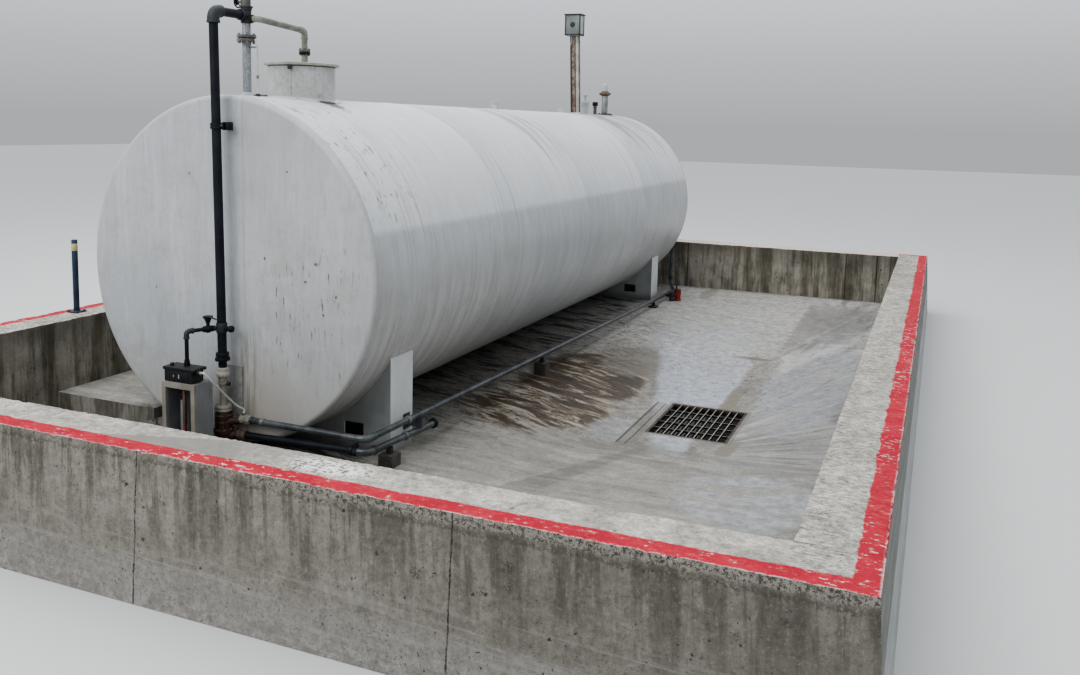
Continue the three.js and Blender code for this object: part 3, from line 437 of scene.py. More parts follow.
def floor_concrete():
    n = Nodes("floor_concrete")
    top = n.ramp(n.facing()[2], 0.5, 0.8)
    mid = n.noise(n.scaled(1, 1, 1, (3, 0, 0)), 3.4, 5, 0.65, 0.4)
    clots = n.cloud(13.0, 5, 0.7)
    fine = n.cloud(52.0, 4, 0.78)
    grit = n.cloud(150.0, 3, 0.75)

    def spot(cx, cy, rx, ry, rag=0.5):
        away = n.away(n.x, n.y, cx, cy, rx, ry)
        return n.ramp(away + (mid - 0.5) * (rag * 2), 1.05, 0.75)

    def beside(x0, y0, dx, dy):
        """Signed distance from the crease that starts at x0, y0 and runs along dx, dy."""
        length = math.hypot(dx, dy)
        return (n.x - x0) * (-dy / length) - (n.y - y0) * (-dx / length)

    color = n.mix(n.ramp(mid, 0.38, 0.62), (0.265, 0.25, 0.22), (0.37, 0.352, 0.315))
    color = n.mix(n.ramp(n.y, 0.2, 1.6) * 0.8, color, (0.56, 0.54, 0.505))
    color = n.shade(color, clots, 1.16, 0.8, 0.1)
    color = n.shade(color, fine, 1.15, 0.83, 0.09)
    color = n.mix(n.ramp(grit, 0.58, 0.66) * 0.5, color, (0.12, 0.112, 0.1))

    fan_x = n.x - 1.65
    fan_y = n.y + 2.0
    angle = n.math("ARCTAN2", fan_y, fan_x)
    radius = n.length(fan_y, fan_x)
    fan = n.noise(n.join(angle * 11.0, radius * 0.8, 0.0), 1.0, 6, 0.72, 0.5)
    right = n.ramp(n.x + (mid - 0.5) * 0.2, 1.96, 2.12)
    right = right * n.ramp(n.y, -2.3, -2.1)
    color = n.mix(right * 0.55, color, (0.44, 0.435, 0.425))
    color = n.shade(color, (fan - 0.5) * right + 0.5, 1.26, 0.6, 0.11)
    swirl = n.noise(n.scaled(1.1, 6.5, 0, (0, 0, 2)), 1.0, 6, 0.7, 1.1)
    near = n.ramp(n.y, -2.0, -2.25)
    color = n.mix(near * 0.45, color, (0.4, 0.385, 0.345))
    color = n.shade(color, (swirl - 0.5) * near + 0.5, 1.15, 0.74, 0.13)
    far = n.ramp(n.y, 0.8, 1.8)
    color = n.shade(color, (swirl - 0.5) * far + 0.5, 1.1, 0.8, 0.15)

    along = n.x * 0.95 - n.y * 0.31
    over = n.x * 0.31 + n.y * 0.95
    run = n.noise(n.join(along * 1.6, over * 8.0, 0.0), 1.0, 7, 0.74, 0.8)
    core = spot(0.56, -0.45, 0.66, 0.95, 0.45)
    lower = spot(0.48, -1.45, 0.66, 0.85, 0.45)
    field = n.most(core, lower) * n.ramp(n.x + n.y * 0.2, 1.02, 0.92)
    color = n.mix(field * 0.5, color, (0.4, 0.365, 0.295))
    thicker = run + core * 0.05
    oily = field * n.ramp(thicker, 0.492, 0.528)
    brown = field * n.ramp(thicker, 0.445, 0.5)
    color = n.mix(brown * 0.75, color, (0.175, 0.125, 0.075))
    color = n.mix(oily * 0.92, color, (0.06, 0.04, 0.025))
    thread = n.noise(n.join(along * 2.5, over * 26.0, 3.0), 1.0, 5, 0.72, 0.6)
    color = n.shade(color, (thread - 0.5) * field + 0.5, 1.2, 0.55, 0.12)
    grey = spot(0.8, 0.3, 0.42, 0.62, 0.45) * n.ramp(n.x, 1.06, 1.0)
    color = n.mix(grey * 0.7, color, (0.175, 0.16, 0.135))
    vein = n.noise(n.join(along * 3.2, over * 9.0, 5.0), 1.0, 5, 0.7, 1.5)
    veins = n.ramp(abs(vein - 0.5), 0.016, 0.006)
    up_slope = n.band(n.x, -0.25, 0.75, 0.2) * n.band(n.y, -2.4, 2.2, 0.5)
    veins = veins * up_slope * n.ramp(run, 0.46, 0.51)
    color = n.mix(veins * 0.92, color, (0.022, 0.018, 0.014))
    blotted = n.noise(n.join(along * 5.0, over * 15.0, 9.0), 1.0, 5, 0.72, 0.8)
    blot = n.ramp(blotted, 0.57, 0.6) * up_slope
    color = n.mix(blot * 0.85, color, (0.035, 0.028, 0.021))

    left_edge = n.x + n.y * 0.245
    pool = n.ramp(left_edge + (mid - 0.5) * 0.12, 1.03, 1.12)
    pool = pool * n.band(n.y + (clots - 0.5) * 0.8, -2.12, 1.35, 0.1)
    beyond_one = n.most(n.y - 0.8, 0.0)
    right_edge = n.x + (mid - 0.5) * 0.16 + beyond_one * 0.27
    pool = pool * n.ramp(right_edge, 1.86, 1.8)
    lobe = spot(1.12, 1.75, 0.62, 1.0, 0.35) * n.ramp(clots, 0.42, 0.5)
    wet_and_sheen = n.most(pool, lobe * 0.8)
    wet_and_sheen = n.most(wet_and_sheen, spot(2.45, -2.85, 0.52, 0.55, 0.4) * n.ramp(swirl, 0.38, 0.56))
    wet_and_sheen = n.most(wet_and_sheen, spot(2.45, 0.4, 0.45, 1.9, 0.5) * n.ramp(fan, 0.46, 0.52) * 0.5)
    wet_and_sheen = n.most(wet_and_sheen, spot(1.2, -1.75, 0.2, 0.35, 0.3) * 0.35)
    # Wet patches are painted a bluish grey: wet concrete with a painted sky reflection.
    near_grate = 0.45 + n.band(n.y, -2.1, 0.5, 0.6) * 0.3
    color = n.mix(wet_and_sheen * near_grate, color, (0.37, 0.385, 0.43))
    color = n.shade(color, (clots - 0.5) * wet_and_sheen + 0.5, 1.16, 0.76, 0.11)
    threads = n.noise(n.join(angle * 40.0, radius * 1.6, 5.0), 1.0, 5, 0.7, 0.4)
    color = n.mix(n.ramp(threads, 0.56, 0.62) * right * 0.55, color, (0.12, 0.112, 0.105))
    crumbs = n.ramp(n.cells(n.coordinates, 21.0), 0.25, 0.18) * n.ramp(clots, 0.47, 0.51)
    littered = n.most(n.most(pool, lobe) * n.band(n.y, -0.6, 2.2, 0.4), 0.2)
    littered = n.most(littered, n.band(n.x, 1.75, 2.3, 0.1) * n.band(n.y, -0.8, 1.4, 0.3))
    color = n.mix(crumbs * littered * 0.9, color, (0.035, 0.032, 0.03))
    silt = n.band(n.x + (clots - 0.5) * 0.12, 1.81, 1.93, 0.012) * n.band(n.y, -0.85, -0.02, 0.05)
    slanted = n.x - (n.y + 1.8) * 0.12 + (clots - 0.5) * 0.1
    silt_end = n.y + (clots - 0.5) * 0.2
    silt = n.most(silt, n.band(slanted, 2.04, 2.17, 0.012) * n.band(silt_end, -1.97, -1.6, 0.02))
    color = n.mix(silt * 0.8, color, (0.19, 0.17, 0.135))
    color = n.mix(spot(1.76, 1.15, 0.24, 0.07, 0.25) * 0.75, color, (0.13, 0.105, 0.07))
    wedge = n.ramp(n.x + (clots - 0.5) * 0.15, 1.93, 2.0) * n.band(n.y, 1.3, 4.3, 0.3)
    wedge = wedge * n.ramp(n.x - n.y * 0.255, 1.62, 1.56)
    color = n.mix(wedge * 0.6, color, (0.17, 0.157, 0.135))
    color = n.mix(spot(0.55, 4.5, 0.1, 0.5, 0.2) * 0.5, color, (0.17, 0.15, 0.12))

    groove = n.most(n.band(n.x, 1.302, 1.318, 0.004), n.band(n.x, 1.372, 1.384, 0.004))
    in_length = n.band(n.y, -2.02, -0.82, 0.02)
    color = n.mix(n.band(n.x, 1.3, 1.43, 0.008) * in_length * 0.6, color, (0.17, 0.155, 0.13))
    groove = groove * in_length
    color = n.mix(groove * 0.85, color, (0.04, 0.036, 0.03))
    color = n.mix(over_grate(n, -32, 0.004) * 0.6, color, (0.17, 0.15, 0.125))

    waved = (clots - 0.5) * 0.05
    from_left = n.x - n.y * 0.4647 + waved
    from_right = n.x - n.y * 0.3293 + waved
    smear = n.ramp(from_left, 2.435, 2.475) * n.ramp(from_right, 2.285, 2.225)
    smear = smear * n.ramp(n.y, -1.75, -2.2)
    color = n.mix(smear * (0.45 + n.ramp(swirl, 0.42, 0.54) * 0.3), color, (0.15, 0.138, 0.117))
    beside_it = n.band(from_right, 2.27, 2.36, 0.03) * n.ramp(n.y, -1.9, -2.2)
    color = n.mix(beside_it * 0.3, color, (0.22, 0.195, 0.15))
    folds = n.noise(n.scaled(3, 14, 0, (0, 0, 4)), 1.0, 5, 0.68, 0.8)
    folded = spot(1.55, -2.15, 0.55, 0.22, 0.4) * n.ramp(folds, 0.48, 0.54)
    color = n.mix(folded * 0.6, color, (0.16, 0.148, 0.125))

    waved = beside(1.79, 0.61, 0.255, 1.0) + (mid - 0.5) * 0.08
    beyond = n.y > 0.61
    smear = n.band(waved, -0.06, 0.02, 0.02) * beyond * n.ramp(swirl, 0.36, 0.52)
    color = n.mix(smear * 0.6, color, (0.17, 0.158, 0.135))
    line = n.ramp(abs(waved), 0.02, 0.006) * beyond
    color = n.mix(line * (n.ramp(fine, 0.42, 0.55) * 0.3), color, (0.5, 0.48, 0.44))

    # Under the tank the floor is painted darker as painted shade, with dark run stains in it.
    under_tank_shade = n.ramp(n.x, 0.12, -0.3) * n.ramp(n.x, -2.3, -2.0)
    color = n.mix(under_tank_shade * 0.5, color, (0.1, 0.095, 0.085))
    color = n.mix(under_tank_shade * n.ramp(run, 0.5, 0.56) * 0.9, color, (0.018, 0.016, 0.014))
    beside_wall = n.ramp(n.x + (clots - 0.5) * 0.12, 2.94, 2.99)
    color = n.mix(beside_wall * 0.8, color, (0.075, 0.068, 0.056))
    rear_dirt = n.ramp(n.y + clots * 0.2, 4.9, 5.0)
    color = n.mix(rear_dirt * 0.5, color, (0.15, 0.135, 0.11))

    runs = n.noise(n.join((n.x + n.y) * 9.0, n.x, n.z * 1.5), 1.5, 5, 0.66)
    side = n.mix(n.ramp(runs, 0.35, 0.65), (0.105, 0.095, 0.08), (0.27, 0.255, 0.225))
    side = n.mix(n.ramp(fine, 0.55, 0.66) * 0.5, side, (0.06, 0.055, 0.045))
    color = n.mix(top, side, color)
    # The pit under the grate is painted near-black: painted shade in the pit, with dark sludge.
    pit_shade = over_grate(n, 2, 0.002) * n.ramp(n.z, 0.0545, 0.0535)
    color = n.mix(pit_shade, color, (0.008, 0.008, 0.008))

    height = clots * 0.5 + fine * 0.34
    smooth = 1.0 - wet_and_sheen * 0.75
    dry = 0.62 + fine * 0.3
    shine = n.most(wet_and_sheen, oily * 0.6)
    roughness = dry - shine * 0.5
    return n.finish(color, roughness, n.bump(height, 0.012, smooth * 0.7), specular=0.45)


def grate_steel():
    """Steel bars: tops painted light as worn steel with a painted highlight, sides painted dark as painted
    shade, rust on the frame.
    """
    n = Nodes("grate_steel")
    nz = n.facing()[2]
    fine = n.cloud(90.0, 5, 0.7)
    patch = n.cloud(14.0, 5, 0.7)
    worn_top_and_highlight = n.mix(n.ramp(fine, 0.4, 0.62), (0.4, 0.385, 0.35), (0.14, 0.115, 0.09))
    worn_top_and_highlight = n.mix(n.ramp(patch, 0.56, 0.66), worn_top_and_highlight, (0.13, 0.075, 0.045))
    # The light tops are worn steel and a painted highlight; the dark sides are painted shade.
    color = n.mix(n.ramp(nz, 0.5, 0.8), (0.016, 0.013, 0.011), worn_top_and_highlight)
    rim = n.mix(n.ramp(patch, 0.4, 0.6), (0.1, 0.075, 0.055), (0.045, 0.035, 0.028))
    color = n.mix(over_grate(n, 21, 0.001), rim, color)
    return n.finish(color, 0.45 + fine * 0.3, n.bump(fine, 0.001, 0.5), metallic=0.3)


# Tank paint: off-white, with rain streaks down every face, dirt low down, dark chips on the front end, a
# painted horizon reflection and a painted rim highlight on the shell, and painted shade at the top of the
# ends.
# A chip has its place from the tank's axis, its half width and half height, in metres, and its colour.

CHIPS = (
    (0.745, 0.11, 0.019, 0.0143, (0.10, 0.085, 0.07)), (0.66, -0.02, 0.0125, 0.01, (0.12, 0.10, 0.08)),
    (0.90, -0.10, 0.01, 0.0143, (0.09, 0.075, 0.06)), (0.80, -0.23, 0.0075, 0.0114, (0.10, 0.085, 0.07)),
    (0.33, 0.115, 0.0069, 0.0079, (0.06, 0.05, 0.04)), (-0.30, 0.66, 0.0075, 0.0114, (0.17, 0.08, 0.045)),
    (-0.62, -0.16, 0.00625, 0.01, (0.16, 0.09, 0.06)), (0.52, 0.70, 0.0075, 0.0071, (0.12, 0.10, 0.08)),
)


def tank_paint(name, cylinder=True):
    n = Nodes(name)
    wide = n.cloud(1.1, 5, 0.6)
    mid = n.cloud(6.0, 5, 0.65)
    fine = n.cloud(30.0, 3, 0.7)
    # Distances from the tank's axis
    dx = n.x - TANK_X / 1000
    dz = n.z - TANK_Z / 1000
    angle = n.math("ARCTAN2", dx, dz)
    if cylinder:
        flow = n.join(n.y * 9.0, angle * 0.75, 0.0)
    else:
        flow = n.join(n.x * 9.0, n.z * 0.7, n.y * 2.0)
    streaks = n.noise(flow, 1.3, 7, 0.72)
    narrow = n.noise(flow, 4.6, 5, 0.7)

    color = n.mix(n.ramp(wide, 0.38, 0.62), (0.49, 0.5, 0.495), (0.59, 0.6, 0.592))
    color = n.mix(n.ramp(streaks, 0.5, 0.62) * (0.44 if cylinder else 0.38), color, (0.36, 0.355, 0.335))
    color = n.mix(n.ramp(narrow, 0.54, 0.62) * 0.34, color, (0.27, 0.255, 0.225))
    color = n.mix(n.ramp(streaks, 0.47, 0.37) * 0.45, color, (0.7, 0.705, 0.7))
    color = n.shade(color, fine, 1.05, 0.94)
    color = n.shade(color, mid, 1.07 if cylinder else 0.9, 0.95 if cylinder else 0.82)
    color = n.mix(0.25 if cylinder else 0.35, color, (0.5, 0.53, 0.57) if cylinder else (0.46, 0.49, 0.535))
    if cylinder:
        low = n.ramp(dz + (streaks - 0.5) * 0.8, 0.0, -1.1)
        color = n.mix(low * 0.22, color, (0.3, 0.27, 0.22))
        beige = n.ramp(n.y + (mid - 0.5) * 1.4, -0.2, -2.6) * n.ramp(dz, 0.35, -0.35)
        color = n.mix(beige * (n.ramp(streaks, 0.42, 0.6) * 0.35), color, (0.4, 0.365, 0.295))
        # A line round the shell, lighter above and duller just below, is a painted reflection of the horizon.
        horizon_reflection = dz + ((mid - 0.5) * 0.05 + (streaks - 0.5) * 0.03)
        color = n.mix(n.ramp(horizon_reflection, 0.29, 0.36) * 0.5, color, (0.74, 0.755, 0.765))
        under_horizon_reflection = n.ramp(horizon_reflection, 0.35, 0.29) * n.ramp(dz, -0.4, 0.0)
        color = n.mix(under_horizon_reflection * 0.38, color, (0.36, 0.365, 0.37))
        ring = n.noise(n.join(n.y * 34.0, angle * 0.5, 3.0), 1.0, 3, 0.65)
        upper = n.ramp(dz, -0.2, 0.5) * n.ramp(wide, 0.36, 0.52)
        color = n.mix(n.ramp(ring, 0.58, 0.64) * upper * 0.5, color, (0.25, 0.24, 0.22))
        soiled = n.ramp(n.y + (mid - 0.5) * 0.6, 2.6, 3.2) * n.ramp(n.y, 4.45, 4.2)
        by_lug = n.ramp(abs(n.y - 0.1), 0.5, 0.1) * 0.75
        soiled = n.most(soiled, by_lug)
        soiled = soiled * n.ramp(dz + (streaks - 0.5) * 1.2, 0.6, 1.12) * n.ramp(streaks, 0.44, 0.54)
        color = n.mix(soiled * 0.85, color, (0.2, 0.185, 0.16))
        scuffed = n.noise(n.join(n.y * 16.0, angle * 7.0, 6.0), 1.6, 5, 0.75)
        front_part = n.ramp(n.y, -2.7, -3.3) * n.ramp(dz, 0.15, 0.5)
        color = n.mix(n.ramp(scuffed, 0.585, 0.61) * front_part * 0.85, color, (0.11, 0.085, 0.065))
        litter = n.away(n.x, n.y, -0.73, -2.8, 1 / 3.6, 1 / 7.0)
        littered = n.ramp(litter + (fine - 0.5) * 1.6, 0.62, 0.45) * n.ramp(dz, 0.9, 1.0)
        color = n.mix(littered * 0.85, color, (0.035, 0.032, 0.028))
        # A narrow light band at the front edge of the shell is a painted highlight on the rim.
        rim_highlight = n.ramp(n.y, -3.548, -3.556)
        color = n.mix(rim_highlight * 0.5, color, (0.7, 0.7, 0.68))
    else:
        low = n.ramp(dz + (streaks - 0.5) * 0.7, -0.45, -1.05)
        color = n.mix(low * 0.5, color, (0.31, 0.285, 0.235))
        color = n.mix(n.ramp(mid, 0.52, 0.64) * 0.22, color, (0.33, 0.325, 0.29))
        # Darker towards the top of the end: painted shade.
        color = n.mix(n.ramp(dz, 0.2, 1.1) * 0.22, color, (0.34, 0.355, 0.38))
        front = n.y < 0.0
        pasted = n.noise(n.scaled(3, 0, 1.4), 1.0, 4, 0.6)
        seam = n.ramp(abs(dx - 0.16), 0.014, 0.008) * front
        color = n.mix(seam * 0.3, color, (0.3, 0.285, 0.25))
        right_side = n.ramp(dx + (pasted - 0.5) * 0.5, 0.1, 0.26) * front
        color = n.mix(right_side * 0.16, color, (0.36, 0.345, 0.3))
        near_pump = n.away(dx, dz, 0.26, -0.86, 1 / 2.3, 1 / 2.2)
        color = n.mix(n.ramp(dz + (mid - 0.5) * 0.2, -1.06, -1.17) * 0.7, color, (0.13, 0.115, 0.085))
        pinkish = n.ramp(near_pump + (mid - 0.5) * 1.2, 0.95, 0.35) * front
        color = n.mix(pinkish * 0.32, color, (0.36, 0.29, 0.235))
        green_x = abs(dx - 0.21 + (narrow - 0.5) * 0.3)
        green = n.ramp(green_x, 0.15, 0.02) * n.band(dz, -1.05, -0.42, 0.12) * front
        color = n.mix(green * (n.ramp(narrow, 0.44, 0.58) * 0.6), color, (0.2, 0.2, 0.165))
        dashes = n.noise(n.scaled(46, 0, 6), 1.0, 5, 0.7)
        dashed = n.band(dx, 0.35, 1.05, 0.12) * n.band(dz, -0.72, 0.22, 0.15) * front
        color = n.mix(n.ramp(dashes, 0.6, 0.625) * dashed * 0.85, color, (0.1, 0.09, 0.075))
        for chip_x, chip_z, half_width, half_height, tint in CHIPS:
            from_chip = n.away(dx, dz, chip_x, chip_z, half_width, half_height)
            mark = n.ramp(from_chip + (fine - 0.5) * 5.0, 1.1, 0.8) * front
            color = n.mix(mark * 0.85, color, tint)
    height = wide * 0.5 + fine * 0.06
    roughness = 0.34 + (streaks + low) * 0.16
    return n.finish(color, roughness, n.bump(height, 0.01, 0.35), specular=0.5)


# Painted, rusted and galvanised metals

def metal(name, light, dark, rust, rust_share, roughness=0.45, metallic=0.0, grain=24.0, specular=0.5):
    """Paint or bare metal: two tones in clouds, drips, fine specks and rust where it has broken through."""
    n = Nodes(name)
    wide = n.cloud(7.0, 5, 0.62)
    drips = n.noise(n.scaled(30, 30, 3.5), 1.0, 5, 0.65)
    fine = n.cloud(grain * 5, 5, 0.7)
    patch = n.noise(n.scaled(1, 1, 1, (3, 8, 1)), grain, 6, 0.72)
    color = n.mix(n.ramp(wide, 0.38, 0.62), dark, light)
    color = n.mix(n.ramp(drips, 0.5, 0.62) * 0.5, color, dark)
    speck = tuple(c * 0.6 for c in dark)
    color = n.mix(n.ramp(fine, 0.53, 0.64) * 0.5, color, speck)
    edge = 0.74 - 0.34 * rust_share
    rusty = n.ramp(patch, edge, edge + 0.07)
    color = n.mix(rusty * 0.9, color, rust)
    rough = roughness + (fine * 0.12 + rusty * 0.3)
    metal_share = (1.0 - rusty) * metallic
    height = fine * 0.3 + rusty * 0.3
    return n.finish(color, rough, n.bump(height, 0.0015, 0.5), metallic=metal_share, specular=specular)


def galvanised_steel():
    n = Nodes("galvanised")
    spangle = n.cells(n.scaled(1, 1, 0.6), 70.0)
    wide = n.cloud(6.0, 5, 0.6)
    fine = n.cloud(130.0, 4, 0.7)
    color = n.mix(n.ramp(spangle, 0.1, 0.8), (0.37, 0.385, 0.395), (0.26, 0.27, 0.28))
    color = n.mix(n.ramp(wide, 0.48, 0.6) * 0.6, color, (0.17, 0.17, 0.165))
    color = n.mix(n.ramp(fine, 0.62, 0.75) * 0.4, color, (0.2, 0.17, 0.13))
    rough = 0.36 + wide * 0.3
    return n.finish(color, rough, n.bump(fine, 0.001, 0.4), metallic=0.7)


def red_and_black():
    """The red body of the drain valve, with its black wheel, stem and side body."""
    n = Nodes("red_valve_paint")
    wide = n.cloud(12.0, 5, 0.6)
    fine = n.cloud(120.0, 5, 0.7)
    red = n.mix(n.ramp(wide, 0.4, 0.6), (0.12, 0.01, 0.008), (0.26, 0.018, 0.014))
    red = n.mix(n.ramp(fine, 0.58, 0.72) * 0.5, red, (0.1, 0.03, 0.02))
    black = n.mix(n.ramp(wide, 0.3, 0.7), (0.012, 0.012, 0.013), (0.035, 0.035, 0.036))
    body = n.ramp(n.z, 0.3, 0.299) * n.ramp(n.x, 0.2535, 0.2545)
    color = n.mix(body, black, red)
    return n.finish(color, 0.35 + fine * 0.25, n.bump(fine, 0.001, 0.4), specular=0.5)


def support_pad():
    """A concrete pad painted dark as a painted shadow under the pipe, with a dark steel clip on it."""
    n = Nodes("support_pad")
    mid = n.cloud(9.0, 5, 0.65)
    fine = n.cloud(60.0, 5, 0.75)
    # The pad's dark colour is a painted shadow under the pipe.
    pad = n.mix(n.ramp(mid, 0.4, 0.6), (0.06, 0.056, 0.049), (0.095, 0.09, 0.08))
    pad = n.shade(pad, fine, 1.2, 0.7)
    steel = n.mix(n.ramp(mid, 0.4, 0.6), (0.03, 0.032, 0.033), (0.065, 0.05, 0.04))
    clip_x = n.band(n.x, SIDE_X / 1000 - 0.024, SIDE_X / 1000 + 0.029, 0.001)
    clip_y = n.least(abs(n.y + 3.38), abs(n.y + 0.69))
    clip_y = n.least(clip_y, abs(n.y - 3.06))
    clip = clip_x * n.ramp(clip_y, 0.016, 0.015) * n.ramp(n.z, 0.1561, 0.1565)
    return n.finish(n.mix(clip, pad, steel), 0.6 + fine * 0.3, n.bump(fine, 0.004, 0.6), specular=0.35)


def shadowed_steel(name, light, dark, stain):
    """Saddle steel: pale paint on the end plates, the web painted darker as painted shade under the tank, and
    darker and stained towards the floor.
    """
    n = Nodes(name)
    wide = n.cloud(2.6, 5, 0.6)
    fine = n.cloud(60.0, 5, 0.7)
    drips = n.noise(n.scaled(16, 16, 1.3), 1.0, 6, 0.7)
    nx = n.facing()[0]
    outer = n.ramp(abs(nx), 0.6, 0.9)
    base = n.mix(n.ramp(wide, 0.3, 0.7), light, tuple(c * 0.82 for c in light))
    base = n.mix(n.ramp(drips, 0.55, 0.75) * 0.5, base, stain)
    # The web and the other faces that don't face along x get a darker copy of the paint: painted shade under
    # the tank.
    shaded_web = n.mix(n.ramp(drips * 0.3 + wide * 0.7, 0.36, 0.64), dark, tuple(c * 0.72 for c in dark))
    color = n.mix(outer, shaded_web, base)
    color = n.mix(n.ramp(n.z, 0.26, 0.14) * 0.6, color, (0.07, 0.06, 0.05))
    color = n.mix(n.ramp(fine, 0.62, 0.74) * 0.5, color, (0.1, 0.065, 0.045))
    height = wide * 0.6 + fine * 0.1
    return n.finish(color, 0.45 + fine * 0.25, n.bump(height, 0.004, 0.4), specular=0.4)


def cabinet_sheet(name, light, dark):
    n = Nodes(name)
    wide = n.cloud(4.0, 5, 0.6)
    fine = n.cloud(80.0, 5, 0.7)
    drips = n.noise(n.scaled(40, 40, 3), 1.0, 6, 0.7)
    color = n.mix(n.ramp(wide, 0.3, 0.7), dark, light)
    color = n.mix(n.ramp(drips, 0.52, 0.72) * 0.5, color, tuple(c * 0.55 for c in dark))
    color = n.mix(n.ramp(n.z, 0.3, 0.15) * 0.5, color, (0.1, 0.08, 0.06))
    color = n.mix(n.ramp(fine, 0.64, 0.75) * 0.6, color, (0.14, 0.08, 0.05))
    return n.finish(color, 0.42 + fine * 0.25, n.bump(wide + fine * 0.1, 0.003, 0.4), metallic=0.15)


RUST = (0.13, 0.052, 0.024)
MATERIALS = {
    "bund_concrete": bund_concrete(),
    "floor_concrete": floor_concrete(),
    "grate": grate_steel(),
    "tank_shell": tank_paint("tank_shell_paint"),
    "tank_end": tank_paint("tank_end_paint", cylinder=False),
    "saddle": shadowed_steel("saddle_paint", (0.70, 0.72, 0.715), (0.34, 0.35, 0.345), (0.33, 0.31, 0.26)),
    "lug": metal("lug_paint", (0.55, 0.56, 0.55), (0.36, 0.36, 0.35), RUST, 0.25),
    "black": metal("black_pipe", (0.015, 0.018, 0.023), (0.008, 0.010, 0.014), (0.05, 0.04, 0.035), 0.1,
                   0.42, specular=0.2),
    "elbow": metal("matte_elbow", (0.036, 0.040, 0.046), (0.022, 0.025, 0.029), (0.06, 0.05, 0.045), 0.1,
                   0.55),
    "grey": metal("grey_pipe", (0.095, 0.105, 0.112), (0.040, 0.045, 0.049), (0.07, 0.055, 0.045), 0.2,
                  0.22, 0.15),
    "support": support_pad(),
    "lid": metal("lid_paint", (0.43, 0.415, 0.365), (0.31, 0.30, 0.255), (0.16, 0.13, 0.09), 0.3, 0.45,
                 grain=9.0),
    "neck": metal("neck_paint", (0.49, 0.497, 0.485), (0.40, 0.40, 0.375), (0.27, 0.25, 0.21), 0.25, 0.42,
                  grain=9.0),
    "dome": metal("dome_paint", (0.46, 0.45, 0.39), (0.30, 0.285, 0.23), (0.12, 0.09, 0.06), 0.35, 0.45),
    "gauge_face": metal("gauge_face", (0.20, 0.225, 0.215), (0.14, 0.16, 0.15), (0.09, 0.09, 0.08), 0.3,
                        0.35),
    "mast_rust": metal("mast_rust", (0.135, 0.10, 0.075), (0.080, 0.060, 0.047), (0.10, 0.062, 0.04), 0.4,
                       0.7),
    "mast_pale": metal("mast_pale", (0.44, 0.43, 0.39), (0.30, 0.285, 0.25), RUST, 0.35, 0.55),
    "coupling": metal("coupling_grey", (0.23, 0.23, 0.22), (0.11, 0.105, 0.095), RUST, 0.3, 0.4, 0.3),
    "plate": metal("wall_plate_paint", (0.32, 0.325, 0.32), (0.19, 0.19, 0.18), RUST, 0.45, 0.45),
    "brass": metal("dull_valve", (0.17, 0.165, 0.145), (0.09, 0.085, 0.075), RUST, 0.25, 0.45, 0.3),
    "galvanised": galvanised_steel(),
    "cream": metal("cream_paint", (0.34, 0.33, 0.28), (0.21, 0.20, 0.165), (0.11, 0.07, 0.04), 0.35, 0.5),
    "crossover": metal("crossover_paint", (0.30, 0.30, 0.26), (0.17, 0.165, 0.14), (0.09, 0.07, 0.05), 0.3,
                       0.5),
    "pump": metal("pump_paint", (0.056, 0.020, 0.016), (0.020, 0.013, 0.011), (0.085, 0.055, 0.04), 0.5,
                  0.55, 0.1, grain=40.0),
    "cabinet": cabinet_sheet("cabinet_sheet", (0.31, 0.315, 0.325), (0.23, 0.235, 0.24)),
    "cabinet_trim": cabinet_sheet("cabinet_trim", (0.36, 0.34, 0.30), (0.24, 0.22, 0.19)),
    "plastic": metal("black_plastic", (0.02, 0.02, 0.022), (0.010, 0.010, 0.011), (0.04, 0.038, 0.034),
                     0.2, 0.42),
    "red_black": red_and_black(),
    "red_strip": metal("red_strip", (0.30, 0.060, 0.04), (0.16, 0.04, 0.03), RUST, 0.35, 0.5),
    "rusty": metal("rusty_steel", (0.16, 0.125, 0.10), (0.075, 0.06, 0.05), RUST, 0.75, 0.65, 0.2),
    "mast": metal("mast_paint", (0.27, 0.235, 0.20), (0.13, 0.10, 0.085), (0.15, 0.07, 0.04), 0.7, 0.6,
                  0.1),
    "post": metal("post_paint", (0.022, 0.045, 0.085), (0.012, 0.025, 0.05), (0.07, 0.05, 0.04), 0.15, 0.4),
    "band": metal("post_band", (0.62, 0.55, 0.28), (0.45, 0.38, 0.17), RUST, 0.15, 0.5),
    "cable": metal("cable_sheath", (0.62, 0.61, 0.575), (0.50, 0.49, 0.45), (0.2, 0.18, 0.15), 0.1, 0.45),
    "panel": metal("box_panel", (0.55, 0.58, 0.58), (0.40, 0.43, 0.43), RUST, 0.2, 0.4, 0.2),
    "frame": metal("box_frame", (0.05, 0.055, 0.055), (0.025, 0.028, 0.028), RUST, 0.35, 0.5),
}


# Mesh helpers

def spoke(angle, length=1.0):
    """A vector of that length and direction in the ground plane."""
    return Vector((length * math.cos(angle), length * math.sin(angle), 0))


